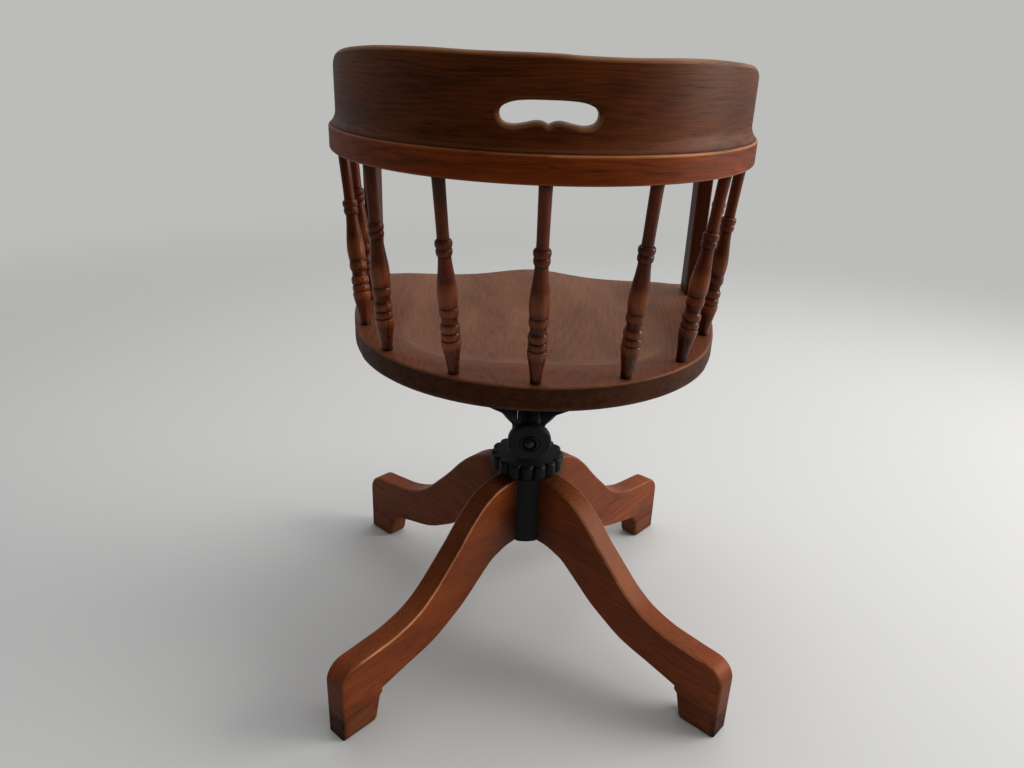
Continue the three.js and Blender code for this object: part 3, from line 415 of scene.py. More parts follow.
# Growth rings, which wander a little from true circles.
drift_reach = 0.018
drift = maths(oak, "SUBTRACT", stretched(long=5, wide=16, detail=2), 0.5)
drift = times(oak, drift, times(oak, given.outputs["Figure"], drift_reach))
run = times(oak, along, given.outputs["Taper"])
under = plus(oak, plus(oak, depth, given.outputs["Pith Depth"]), plus(oak, run, drift))
side = plus(oak, across, drift)
from_pith = maths(oak, "SQRT", plus(oak, times(oak, side, side), times(oak, under, under)))
growth = times(oak, from_pith, given.outputs["Rings"])
jitter = times(oak, stretched(long=9, wide=150, detail=3), 1.6)
year = maths(oak, "FRACT", plus(oak, growth, jitter))
late = node(oak, "ValToRGB", Fac=year)
for end_of_year, place in zip(late.color_ramp.elements, (0.0, 1.0)):
    end_of_year.position = place
    end_of_year.color = (0.35, 0.35, 0.35, 1)
for place, level in ((0.2, 0.45), (0.5, 0.8), (0.85, 0.7)):
    late.color_ramp.elements.new(place).color = (level, level, level, 1)
late = late.outputs["Color"]

# Open pores in the early wood, fibres, and patches where the stain took more or less.
pores = share_between(oak, stretched(long=50, wide=1300, detail=1), 0.56, 0.7)
early = share_between(oak, late, 0.75, 0.4)
pores = times(oak, pores, plus(oak, 0.25, early))
fibre = share_between(oak, stretched(long=14, wide=640, detail=4, roughness=0.7), 0.25, 0.75)
patches = share_between(oak, stretched(long=7, wide=26, detail=3), 0.3, 0.72)
level = plus(oak, times(oak, late, 0.45), times(oak, fibre, 0.65))
level = maths(oak, "SUBTRACT", maths(oak, "SUBTRACT", level, 0.1), times(oak, pores, 0.25))
stain = times(oak, maths(oak, "SUBTRACT", patches, 0.5), given.outputs["Stain"])
level = node(oak, "Clamp", Value=plus(oak, level, stain)).outputs[0]
tone = blend(oak, level, given.outputs["Dark"], given.outputs["Light"])

# Rubbed varnish and painted highlights, then grime and painted shade.
rub = times(oak, given.outputs["Wear_And_Highlight"], plus(oak, 0.35, patches))
rub = node(oak, "Clamp", Value=times(oak, rub, plus(oak, 0.55, fibre))).outputs[0]
tone = blend(oak, rub, tone, given.outputs["Worn_And_Highlight"])
smear = stretched(long=60, wide=90, detail=3)
soil_and_shade = times(oak, given.outputs["Dirt_And_Shade"], plus(oak, 0.4, smear))
soil_and_shade = node(oak, "Clamp", Value=soil_and_shade).outputs[0]
tone = blend(oak, soil_and_shade, tone, given.outputs["Grime_And_Shade"])
oak.links.new(tone, result.inputs["Colour"])
dull = plus(oak, 0.4, times(oak, patches, 0.12))
dull = plus(oak, dull, times(oak, pores, 0.2))
dull = plus(oak, dull, times(oak, soil_and_shade, 0.2))
oak.links.new(dull, result.inputs["Roughness"])
relief = plus(oak, times(oak, late, 0.15), times(oak, fibre, 0.2))
relief = maths(oak, "SUBTRACT", relief, times(oak, pores, 0.7))
oak.links.new(relief, result.inputs["Height"])
grime_and_shade = (18, 11, 8)
varnish_tint = (255, 190, 140)


def varnished_oak(
    name, light, dark, worn_and_highlight, rings=300, pith=0.05, taper=0.1, figure=1.0, stain=0.4,
    coat=0.0, shine=0.28,
):
    """Stained oak under old varnish, with its own grain and colours."""
    material, tree, shader = new_material(name)
    wood = tree.nodes.new("ShaderNodeGroup")
    wood.node_tree = oak
    for label, socket in (("Grain", "Vector"), ("Wear_And_Highlight", "Fac"), ("Dirt_And_Shade", "Fac")):
        source = node(tree, "Attribute", {"attribute_name": label.lower()})
        tree.links.new(source.outputs[socket], wood.inputs[label])
    for label, paint in (("Light", light), ("Dark", dark), ("Worn_And_Highlight", worn_and_highlight), ("Grime_And_Shade", grime_and_shade)):
        wood.inputs[label].default_value = colour(*paint)
    for label, value in (
        ("Rings", rings), ("Pith Depth", pith), ("Taper", taper), ("Figure", figure), ("Stain", stain),
    ):
        wood.inputs[label].default_value = value
    tree.links.new(wood.outputs["Colour"], shader.inputs["Base Color"])
    tree.links.new(wood.outputs["Roughness"], shader.inputs["Roughness"])
    bump = node(tree, "Bump", Strength=0.25, Distance=0.0005, Height=wood.outputs["Height"])
    tree.links.new(bump.outputs[0], shader.inputs["Normal"])
    shader.inputs["Specular IOR Level"].default_value = 0.16
    shader.inputs["Specular Tint"].default_value = colour(*varnish_tint)
    shader.inputs["Coat Weight"].default_value = coat
    shader.inputs["Coat Roughness"].default_value = shine
    return material


base_turn = math.radians(3.4)
leg_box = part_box("leg_1")
foot_reach = 362 * mm
leg_inner_reach = 26 * mm
leg_thickness = 34 * mm
leg_top = leg_box[1].z
leg_low = leg_box[0].z
arch_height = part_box("hub")[0].z
foot_top = 110 * mm
foot_corner = 28 * mm
foot_nose_x = 295 * mm
foot_nose_z = leg_low + 10 * mm
foot_block_top_length = 62 * mm
leg_arris = 4 * mm
leg_top_shares = [
    (0.131, 0.995), (0.213, 0.968), (0.287, 0.883), (0.359, 0.737), (0.424, 0.568), (0.499, 0.393),
    (0.5635, 0.25), (0.641, 0.127), (0.74, 0.049), (0.837, 0.0195),
]
leg_under_shares = [
    (0.19, 0.989), (0.251, 0.945), (0.307, 0.882), (0.4, 0.69), (0.481, 0.517), (0.559, 0.387),
    (0.692, 0.208), (0.858, 0.096), (1, 0),
]
leg_wood = varnished_oak(
    "leg_oak", light=(146, 71, 31), dark=(74, 30, 13), worn_and_highlight=(214, 152, 108), rings=330, pith=0.09,
    taper=0.03, coat=0.08,
)
# Near left, near right, far right and far left, as seen from behind the chair.
leg_rubs = (0.75, 0.4, 0.1, 0.1)
# The far left leg is darkened with painted shade, for its side away from the window lamp.
leg_shade = (0.0, 0.0, 0.0, 0.2)
rub_all_along = 0.15
over = [(leg_inner_reach, leg_top)]
over += [(s * foot_reach, foot_top + z * (leg_top - foot_top)) for s, z in leg_top_shares]
over += [(foot_reach - foot_corner, foot_top)]
under = [(s * foot_nose_x, foot_nose_z + z * (arch_height - foot_nose_z)) for s, z in leg_under_shares]
under = [(leg_inner_reach, arch_height)] + under
leg_outline = (
    curve_through(over, 6)[:-1]
    + arc((foot_reach - foot_corner, foot_top - foot_corner), foot_corner, math.pi / 2, 0, 8)
    + [Vector((foot_reach, leg_low + 20 * mm)), Vector((foot_reach, leg_low))]
    + [Vector((foot_reach - foot_block_top_length, leg_low)), Vector((foot_nose_x, leg_low + 5 * mm))]
    + curve_through(under[::-1], 6)
)
corner_angles = [base_turn + (i + 0.5) * math.pi / 2 for i in range(4)]


def stands_out(angle):
    """Turns a place on a leg's own board into a place on the chair."""
    return lambda u, v, w: (
        u * math.cos(angle) - w * math.sin(angle), u * math.sin(angle) + w * math.cos(angle), v,
    )


def own_place(places, angle):
    """The same, the other way round, for many places."""
    p = np.asarray(places)
    u = p[:, 0] * math.cos(angle) + p[:, 1] * math.sin(angle)
    w = p[:, 1] * math.cos(angle) - p[:, 0] * math.sin(angle)
    return u, p[:, 2], w


for i, angle in enumerate(corner_angles):
    places, faces, near = rounded_board(
        leg_outline, -leg_thickness / 2, leg_thickness / 2, leg_arris, stands_out(angle),
        joint=lambda a, b: max(a.y, b.y) < leg_low + 1 * mm or max(a.x, b.x) < leg_inner_reach + 1 * mm,
    )
    u, v, w = own_place(places, angle)
    grain = np.stack([u + 3 * i, v - 0.06 * u, w + 0.013 * i], axis=1)
    before_corner = ramp(u, foot_reach - foot_corner, foot_reach - foot_corner - 12 * mm)
    wear_and_highlight = np.asarray(near) ** 6 * (rub_all_along + leg_rubs[i] * before_corner)
    # Painted shade under the handwheel, with some grime, darkens the legs' tops near the hub.
    near_floor, shade_under_wheel = ramp(v, 60 * mm, 35 * mm), ramp(u, 78 * mm, 42 * mm)
    # The outer ends are darker: end grain that took more stain, and painted shade.
    end_grain_and_shade = ramp(u, foot_reach - 5 * mm, foot_reach - 1 * mm)
    dirt_and_shade = leg_shade[i] + 0.25 * near_floor + 0.75 * shade_under_wheel + 0.4 * end_grain_and_shade
    piece(
        f"leg_wood_{i + 1}", places, faces, leg_wood, "base", [f"leg_{i + 1}"],
        {"grain": grain, "wear_and_highlight": wear_and_highlight, "dirt_and_shade": dirt_and_shade},
    )


# Foot blocks: short oak offcuts glued under the legs' ends, rounded at their inner toe.
# They are dark along the floor from mops and shoes, and their ends are darker, partly end grain that took
# more stain and partly painted shade.
foot_block_length = 56 * mm
foot_block_height = 36 * mm
foot_block_corner = 9 * mm
foot_arris = 4 * mm
foot_wood = varnished_oak(
    "foot_oak", light=(132, 72, 40), dark=(72, 35, 19), worn_and_highlight=(160, 100, 64), rings=420, pith=0.03,
    taper=0.05,
)
toe = foot_reach - foot_block_length
block_outline = [Vector((foot_reach, 0)), Vector((foot_reach, foot_block_height))]
block_outline += [Vector((foot_reach - foot_block_top_length, foot_block_height))]
toe_centre = (toe + foot_block_corner, foot_block_corner)
block_outline += arc(toe_centre, foot_block_corner, math.pi, 1.5 * math.pi, 8)
for i, angle in enumerate(corner_angles):
    places, faces, near = rounded_board(
        block_outline, -leg_thickness / 2, leg_thickness / 2, foot_arris, stands_out(angle),
        joint=lambda a, b: min(a.y, b.y) > foot_block_height - 1 * mm,
    )
    u, v, w = own_place(places, angle)
    grain = np.stack([u + 5 * i, v + 0.2 * i, w], axis=1)
    wear_and_highlight = np.asarray(near) * 0.2
    near_floor, near_joint = ramp(v, 9 * mm, 2 * mm), ramp(v, 32 * mm, foot_block_height)
    # The outer ends are darker: end grain that took more stain, and painted shade.
    end_grain_and_shade = ramp(u, foot_reach - 5 * mm, foot_reach - 1 * mm)
    dirt_and_shade = 0.6 * near_floor + 0.4 * near_joint + 0.4 * end_grain_and_shade
    piece(
        f"foot_wood_{i + 1}", places, faces, foot_wood, "base", [f"foot_block_{i + 1}"],
        {"grain": grain, "wear_and_highlight": wear_and_highlight, "dirt_and_shade": dirt_and_shade},
    )


# The hub: a cast-iron sleeve with four channels that hold the legs' butt ends, painted black,
# with dust on what faces up. The paint's dull skin is the same on every casting here.
cast_iron, given, result = effect(
    "black_iron",
    [("Dust", "value", 0.5), ("Paint", "colour", None), ("Rub", "value", 0.2)],
    [("Colour", "colour"), ("Roughness", "value"), ("Metallic", "value"), ("Height", "value")],
)
at = node(cast_iron, "TexCoord").outputs["Object"]
sand = node(cast_iron, "TexNoise", Vector=at, Scale=900.0, Detail=2.0).outputs["Fac"]
lumps = node(cast_iron, "TexNoise", Vector=at, Scale=130.0, Detail=3.0).outputs["Fac"]
cloud = node(cast_iron, "TexNoise", Vector=at, Scale=38.0, Detail=3.0).outputs["Fac"]
faces_where = node(cast_iron, "NewGeometry").outputs["Normal"]
looks_up = node(cast_iron, "SeparateXYZ", Vector=faces_where).outputs["Z"]
settled = share_between(cast_iron, looks_up, 0.1, 0.95)
settled = times(cast_iron, settled, plus(cast_iron, 0.25, cloud))
settled = times(cast_iron, settled, given.outputs["Dust"])
bare = times(cast_iron, share_between(cast_iron, lumps, 0.6, 0.72), given.outputs["Rub"])
bare_iron = (70, 68, 66)
pale_dust = (84, 80, 76)
tone = blend(cast_iron, bare, given.outputs["Paint"], colour(*bare_iron))
tone = blend(cast_iron, settled, tone, colour(*pale_dust))
cast_iron.links.new(tone, result.inputs["Colour"])
dull = plus(cast_iron, 0.42, times(cast_iron, cloud, 0.2))
dull = plus(cast_iron, dull, times(cast_iron, settled, 0.4))
cast_iron.links.new(dull, result.inputs["Roughness"])
cast_iron.links.new(times(cast_iron, bare, 0.8), result.inputs["Metallic"])
skin = plus(cast_iron, times(cast_iron, lumps, 0.7), times(cast_iron, sand, 0.3))
cast_iron.links.new(skin, result.inputs["Height"])


def iron_paint(name, paint, dust, rub, relief=0.0008):
    """Black paint on iron, or bare dark steel, with its own dust and rubbed places."""
    material, tree, shader = new_material(name)
    made = tree.nodes.new("ShaderNodeGroup")
    made.node_tree = cast_iron
    made.inputs["Dust"].default_value = dust
    made.inputs["Paint"].default_value = colour(*paint)
    made.inputs["Rub"].default_value = rub
    for label, socket in (("Colour", "Base Color"), ("Roughness", "Roughness"), ("Metallic", "Metallic")):
        tree.links.new(made.outputs[label], shader.inputs[socket])
    bump = node(tree, "Bump", Strength=0.5, Distance=relief, Height=made.outputs["Height"])
    tree.links.new(bump.outputs[0], shader.inputs["Normal"])
    shader.inputs["Specular IOR Level"].default_value = 0.18
    return material


def cast_copy(name, cad_node, grain, turns, material, body):
    """A casting made from a node's own shape, its corners and fillets softened as a mould softens them."""
    made = bpy.data.objects.new(name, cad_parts[cad_node].data.copy())
    made.data.materials.clear()
    bpy.context.collection.objects.link(made)
    skin = made.modifiers.new("skin", "REMESH")
    skin.mode = "VOXEL"
    skin.voxel_size = grain
    soften = made.modifiers.new("soften", "SMOOTH")
    soften.factor = 0.5
    soften.iterations = turns
    bpy.context.view_layer.update()
    shape = bpy.data.meshes.new_from_object(made.evaluated_get(bpy.context.evaluated_depsgraph_get()))
    made.modifiers.clear()
    made.data = shape
    shape.name = name
    shape.materials.clear()
    shape.materials.append(material)
    shape.shade_smooth()
    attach(made, body)
    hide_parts(cad_node)


hub_radius = 43 * mm
hub_arris = 1.6 * mm
hub_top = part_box("hub")[1].z
guide_radius = 14.5 * mm
guide_length = 24 * mm
lower_bore_radius = 16.9 * mm
fit_gap = 0.3 * mm
channel_half = leg_thickness / 2 + fit_gap
channel_floor = leg_inner_reach - fit_gap
channel_angle = math.asin(channel_half / hub_radius)
hub_outline = []
for angle in corner_angles:
    away, across = Vector((math.cos(angle), math.sin(angle))), Vector((-math.sin(angle), math.cos(angle)))
    floor_middle, reach = away * channel_floor, across * channel_half
    hub_outline += [floor_middle - reach, floor_middle + reach]
    first, last = angle + channel_angle, angle + math.pi / 2 - channel_angle
    hub_outline += arc((0, 0), hub_radius, first, last, 12)
full_turn = 2 * math.pi


def round_loop(radius):
    """Points all round a circle."""
    return arc((0, 0), radius, 0, full_turn, 40)[:-1]


places, faces, near = rounded_board(
    hub_outline, arch_height, hub_top, hub_arris, lambda u, v, w: (u, v, w),
    bore=round_loop(guide_radius), wider_bore=round_loop(lower_bore_radius),
    narrows_at=hub_top - guide_length,
)
hub_iron = iron_paint("hub_iron", paint=(12, 11, 13), dust=0.08, rub=0.1)
piece("hub_casting", places, faces, hub_iron, "base", ["hub"])


# Leg bolts and washers: plain steel, darkened with age. The bolts lie inside the hub, through the
# legs' butt ends, and the washer lies between the hub and the handwheel.
dark_steel = iron_paint("aged_steel", paint=(38, 37, 36), dust=0.15, rub=0.5, relief=0.0003)


def dress(cad_node, material, eased=0):
    """Gives a node's own shape its material, and eases its edges where they show."""
    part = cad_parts[cad_node]
    part.data.materials.clear()
    part.data.materials.append(material)
    if eased:
        ease = part.modifiers.new("eased_edges", "BEVEL")
        ease.width = eased
        ease.segments = 2
        ease.angle_limit = math.radians(40)


for i in range(4):
    dress(f"leg_bolt_{i + 1}", dark_steel)


def closed_ends(rings):
    """The two faces that close the first ring and the last."""
    return [tuple(rings[0])[::-1], tuple(rings[-1])]


def turned(profile, centre, axis, segments, bored=False):
    """A turned piece, solid or bored: its profile is (distance along the axis from the centre, radius).

    A bored piece's profile runs from the bore's one end round the outside to its other end.
    """
    axis = Vector(axis).normalized()
    side = axis.orthogonal().normalized()
    up = axis.cross(side)
    places = []
    for along, radius in profile:
        for k in range(segments):
            a = full_turn * k / segments
            round_axis = side * math.cos(a) + up * math.sin(a)
            places.append(Vector(centre) + axis * along + round_axis * radius)
    rings = numbered(len(profile), segments)
    return places, joined(rings + rings[:1]) if bored else joined(rings) + closed_ends(rings)


washer_thickness = 3 * mm


def washer_profile(start, inner, outer, ease):
    """A flat washer's section, from a start along its axis, with eased edges."""
    end = start + washer_thickness
    return [
        (start, inner), (start, outer - ease), (start + ease, outer),
        (end - ease, outer), (end, outer - ease), (end, inner),
    ]


def washer(name, cad_node, inner, body):
    """A level washer, where its node is."""
    low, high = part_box(cad_node)
    profile = washer_profile(-washer_thickness / 2, inner, (high.x - low.x) / 2, 0.5 * mm)
    places, faces = turned(profile, (low + high) / 2, (0, 0, 1), 48, bored=True)
    piece(name, places, faces, dark_steel, body, [cad_node])


screw_radius = 14 * mm
running_gap = 0.5 * mm
washer("wheel_washer_steel", "wheel_washer", screw_radius + running_gap, "base")


# Handwheel: a nut cast in iron on the lift screw, its rim drawn into sixteen round lobes to grip.
# It is painted black, and turning it winds the seat up or down.
wheel_low, wheel_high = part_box("handwheel")
wheel_radius = 54 * mm
wheel_lobes = 16
wheel_flute = 7 * mm
wheel_edge = 5 * mm
wheel_height = wheel_high.z - wheel_low.z
wheel_steps = 14 * wheel_lobes
wheel_bore = screw_radius + running_gap


def lobed(angle):
    """The rim's radius at an angle: round lobes with narrow flutes between them."""
    return wheel_radius - wheel_flute * (1 - abs(math.cos(wheel_lobes / 2 * angle)) ** 0.6)


wheel_rings = [(wheel_bore, 0), (0.6 * wheel_radius, 0)]
quarter_turn = np.linspace(0, math.pi / 2, 7)
wheel_rings += [(wheel_edge * (math.sin(t) - 1), wheel_edge * (1 - math.cos(t))) for t in quarter_turn]
wheel_rings += [(inwards, wheel_height - z) for inwards, z in reversed(wheel_rings)]
places = []
for inwards, z in wheel_rings:
    for k in range(wheel_steps):
        a = full_turn * k / wheel_steps
        reach = inwards if inwards > 0 else lobed(a) + inwards
        places.append((reach * math.cos(a), reach * math.sin(a), wheel_low.z + z))
rings = numbered(len(wheel_rings), wheel_steps)
faces = joined(rings + rings[:1])
wheel_iron = iron_paint("wheel_iron", paint=(9, 8, 9), dust=0.06, rub=0.12)
piece("handwheel_casting", places, faces, wheel_iron, "wheel", ["handwheel"], crease=60)


# Lift screw: steel, with a square thread up to its shoulder, and a bare spigot on top that the
# yoke turns on. A washer and a bolt under it stop it leaving the hub.
screw_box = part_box("lift_screw")
screw_low = screw_box[0].z
screw_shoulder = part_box("thrust_washer")[0].z - fit_gap
spigot_top = screw_box[1].z
spigot_radius = 10.5 * mm
set_screw_low, set_screw_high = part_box("yoke_set_screw")
set_screw_z = (set_screw_low.z + set_screw_high.z) / 2
groove_half = 4 * mm
groove_depth = 2 * mm
thread_pitch = 6 * mm
thread_depth = 2.4 * mm
thread_top = screw_shoulder - 5 * mm
screw_segments = 40
stop_bolt_hole = 4.3 * mm
stop_bolt_depth = 16.3 * mm


def screw_ring(z, reaches):
    """A ring of corners round the screw's line, each with its own reach."""
    turns = [full_turn * k / screw_segments for k in range(screw_segments)]
    return [(r * math.cos(a), r * math.sin(a), z) for r, a in zip(reaches, turns)]


def thread_reach(z, k):
    """How far out the square thread stands at a height, at one of the ring's corners."""
    turn = (z / thread_pitch - k / screw_segments) % 1
    crest = min(max((0.3 - abs(turn - 0.5)) / 0.08 + 0.5, 0), 1)
    fade = min(1, (thread_top - z) / thread_pitch)
    return screw_radius - thread_depth * (1 - crest) * fade


rows = int((thread_top - screw_low) / (thread_pitch / 12))
places = []
for r in range(rows + 1):
    z = screw_low + (thread_top - screw_low) * r / rows
    places += screw_ring(z, [thread_reach(z, k) for k in range(screw_segments)])
groove_low, groove_high = set_screw_z - groove_half, set_screw_z + groove_half
for z, reach in (
    (screw_shoulder - 1 * mm, screw_radius), (screw_shoulder, screw_radius - 1 * mm),
    (screw_shoulder, spigot_radius), (groove_low, spigot_radius),
    (groove_low, spigot_radius - groove_depth), (groove_high, spigot_radius - groove_depth),
    (groove_high, spigot_radius), (spigot_top - 1 * mm, spigot_radius),
    (spigot_top, spigot_radius - 1 * mm),
    (screw_low, stop_bolt_hole), (screw_low + stop_bolt_depth, stop_bolt_hole),
):
    places += screw_ring(z, [reach] * screw_segments)
rings = numbered(len(places) // screw_segments, screw_segments)
outside, hole_low, hole_high = rings[:-2], rings[-2], rings[-1]
faces = joined(outside) + joined([hole_high, hole_low, rings[0]])
faces += [tuple(outside[-1]), tuple(hole_high)]
screw_steel = iron_paint("screw_steel", paint=(44, 42, 41), dust=0.08, rub=0.7, relief=0.0003)
piece("screw_threaded", places, faces, screw_steel, "column", ["lift_screw"])
washer("stop_washer_steel", "stop_washer", stop_bolt_hole, "column")
washer("thrust_washer_steel", "thrust_washer", spigot_radius + running_gap, "column")
dress("stop_bolt", dark_steel)


# Yoke: a casting that swivels on the spigot, with the tongue that the tilting pivot goes through
# and the boss that the spring bears on. A square-headed screw in the spigot's groove keeps it on.
yoke_iron = iron_paint("yoke_iron", paint=(9, 9, 10), dust=0.08, rub=0.1)
cast_copy("yoke_casting", "yoke", 0.8 * mm, 3, yoke_iron, "head")
bright_edges = iron_paint("worn_steel", paint=(34, 33, 33), dust=0.12, rub=0.6, relief=0.0003)
dress("yoke_set_screw", bright_edges, eased=0.6 * mm)
dress("pivot_nut", bright_edges, eased=0.6 * mm)

pin_low, pin_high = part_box("pivot_pin")
pin_radius = 7 * mm
pin_head_radius = 11 * mm
pin_head = 4.5 * mm
pin_centre = Vector((0, (pin_low.y + pin_high.y) / 2, (pin_low.z + pin_high.z) / 2))
profile = [
    (pin_low.x, pin_head_radius - 3 * mm), (pin_low.x + 0.5 * mm, pin_head_radius - 1.5 * mm),
    (pin_low.x + 1.6 * mm, pin_head_radius), (pin_low.x + pin_head - 0.4 * mm, pin_head_radius),
    (pin_low.x + pin_head, pin_head_radius - 0.4 * mm), (pin_low.x + pin_head, pin_radius),
    (pin_high.x - 1 * mm, pin_radius), (pin_high.x, pin_radius - 1 * mm),
]
places, faces = turned(profile, pin_centre, (1, 0, 0), 36)
piece("pivot_pin_steel", places, faces, bright_edges, "seat_frame", ["pivot_pin"])


# Seat iron: the casting that tilts, two cheeks and a crown round the yoke, and four arms that
# spread to pads under the seat, each with a steel screw.
seat_iron_paint = iron_paint("seat_iron_paint", paint=(11, 11, 12), dust=0.1, rub=0.1)
cast_copy("seat_iron_casting", "seat_iron", 1.25 * mm, 4, seat_iron_paint, "seat_frame")
for i in range(4):
    dress(f"seat_screw_{i + 1}", bright_edges)


# Tension rod: steel, with a crosshead that the seat iron's crossbar pulls, and behind the yoke
# the spring between two plates, the turned iron knob and its locknut.
rod_slope = math.radians(11)
rod_axis = Vector((0, math.cos(rod_slope), -math.sin(rod_slope)))
rod_below_pivot = 43.8 * mm
rod_origin = Vector((0, 0, pin_centre.z - rod_below_pivot))
rod_radius = 5 * mm
rod_front = -44 * mm
rod_rear = 108.5 * mm
thread_fine = 1.5 * mm
thread_start = 78 * mm
rod_segments = 24
rod_thread_depth = 0.7 * mm
profile = [(rod_front, rod_radius - 0.8 * mm), (rod_front + 0.8 * mm, rod_radius)]
profile += [(thread_start, rod_radius)]
steps = int((rod_rear - 1 * mm - thread_start) / (thread_fine / 2))
for k in range(steps):
    cut = rod_thread_depth if k % 2 == 0 else 0
    profile.append((thread_start + (k + 1) * thread_fine / 2, rod_radius - cut))
profile += [(rod_rear, rod_radius - 1.2 * mm)]
places, faces = turned(profile, rod_origin, rod_axis, rod_segments)
piece("tension_rod_steel", places, faces, bright_edges, "rod", ["tension_rod"])
dress("rod_crosshead", bright_edges)


spring_plate_radius = 16.4 * mm


def rod_washer(name, cad_node, start, body):
    """One of the spring's two plates, square to the rod."""
    profile = washer_profile(start, rod_radius + running_gap, spring_plate_radius, 0.6 * mm)
    places, faces = turned(profile, rod_origin, rod_axis, 44, bored=True)
    piece(name, places, faces, dark_steel, body, [cad_node])


spring_front = 29.6 * mm
spring_length = 50 * mm
spring_rear = spring_front + spring_length
rod_washer("spring_seat_plate", "spring_seat", spring_front - fit_gap - washer_thickness, "head")
rod_washer("spring_rear_plate", "spring_plate", spring_rear + fit_gap, "plate")

spring_turns = 6
spring_radius = 13.4 * mm
spring_wire = 3.4 * mm
wire_sides = 12
turn_steps = 40
wire_radius = spring_wire / 2
rod_side = Vector((1, 0, 0))
rod_up = Vector((0, math.sin(rod_slope), math.cos(rod_slope)))
count = spring_turns * turn_steps
places = []
for i in range(count + 1):
    t = i / count
    a = t * spring_turns * full_turn
    s = spring_front + wire_radius + t * (spring_length - spring_wire)
    out = rod_side * math.cos(a) + rod_up * math.sin(a)
    for j in range(wire_sides):
        b = full_turn * j / wire_sides
        on_rod = rod_origin + rod_axis * (s + wire_radius * math.sin(b))
        places.append(on_rod + out * (spring_radius + wire_radius * math.cos(b)))
rings = numbered(count + 1, wire_sides)
faces = joined(rings) + closed_ends(rings)
spring_steel = iron_paint("spring_steel", paint=(22, 21, 21), dust=0.15, rub=0.4, relief=0.0003)
spring = piece("spring_coil", places, faces, spring_steel, "head", ["tension_spring"])
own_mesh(spring)

knob_front = spring_rear + 2 * fit_gap + washer_thickness
knob_back = knob_front + 7 * mm
knob_face = knob_back + 13 * mm
knob_radius = 29.4 * mm
knob_boss = 13 * mm
recess_radius = 9.5 * mm
recess_depth = 6 * mm
knob_crown = 2 * mm
knob_edge = 3.4 * mm
knob_bore = rod_radius + running_gap
profile = [
    (knob_front, knob_bore), (knob_front, knob_boss - 0.6 * mm), (knob_front + 0.6 * mm, knob_boss),
    (knob_back - 1.5 * mm, knob_boss), (knob_back, knob_boss + 1.5 * mm),
]
profile += [
    (knob_back + knob_edge * (1 - math.cos(t)), knob_radius - knob_edge * (1 - math.sin(t)))
    for t in quarter_turn
]
profile += [
    (knob_face - 1 * mm - knob_edge * (1 - math.sin(t)), knob_radius - knob_edge * (1 - math.cos(t)))
    for t in quarter_turn
]
ring_groove = 13.2 * mm
profile += [
    (knob_face - 0.2 * mm, 0.72 * knob_radius), (knob_face + 0.6 * mm, ring_groove + 2 * mm),
    (knob_face + 0.8 * mm, ring_groove + 0.8 * mm), (knob_face - 0.2 * mm, ring_groove),
    (knob_face + 1.2 * mm, ring_groove - 0.9 * mm), (knob_face + knob_crown, recess_radius + 1 * mm),
    (knob_face + knob_crown - 0.7 * mm, recess_radius), (knob_face - recess_depth, recess_radius),
    (knob_face - recess_depth, knob_bore),
]
places, faces = turned(profile, rod_origin, rod_axis, 72, bored=True)
knob_iron = iron_paint("knob_iron", paint=(9, 9, 10), dust=0.05, rub=0.1)
piece("tension_knob_casting", places, faces, knob_iron, "knob", ["tension_knob"])
dress("knob_locknut", bright_edges, eased=0.5 * mm)


# Seat: oak boards glued side by side with their grain from back to front, then dished to the
# sitter, with a ridge in front between the thighs. Its edge is rounded over, and its edge and
# underside are darkened with painted shade.
seat_low, seat_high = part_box("seat")
seat_underside = seat_low.z
seat_board = 32 * mm
seat_rim = seat_underside + seat_board
seat_half_width = seat_high.x
seat_front = -seat_low.y
seat_back_radius = 239 * mm
seat_back_centre = seat_high.y - seat_back_radius
seat_arc_end = math.radians(26)
seat_corner = 60 * mm
seat_edge_round = 3 * mm
seat_under_round = 9 * mm
hollow_depth = 15 * mm
hollow_half_width = 222 * mm
hollow_rear = 205 * mm
hollow_front = 600 * mm
front_roll = 75 * mm
pommel_half_width = 76 * mm
pommel_length = 250 * mm
pommel_share = 0.92
dish_floor_share = 0.62
seat_side_shares = [
    (0.9, 0.3), (0.94, 0.13), (0.966, -0.02), (0.988, -0.22), (0.999, -0.44), (1, -0.62),
]


def smooth(t):
    """A step that starts and ends level."""
    s = ramp(t, 0, 1)
    return s * s * (3 - 2 * s)


def hollow(x, y):
    """How deep the seat is dished at a place."""
    reach = np.where(y > 0, hollow_rear, hollow_front)
    out = (abs(x / hollow_half_width) ** 3 + abs(y / reach) ** 3) ** (1 / 3)
    bowl = 1 - smooth((out - dish_floor_share) / (1 - dish_floor_share))
    roll = smooth((front_roll - seat_front - y) / front_roll)
    pommel = np.exp(-((x / pommel_half_width) ** 2)) * smooth(-y / pommel_length)
    return hollow_depth * np.maximum(bowl, roll) * (1 - pommel_share * pommel)


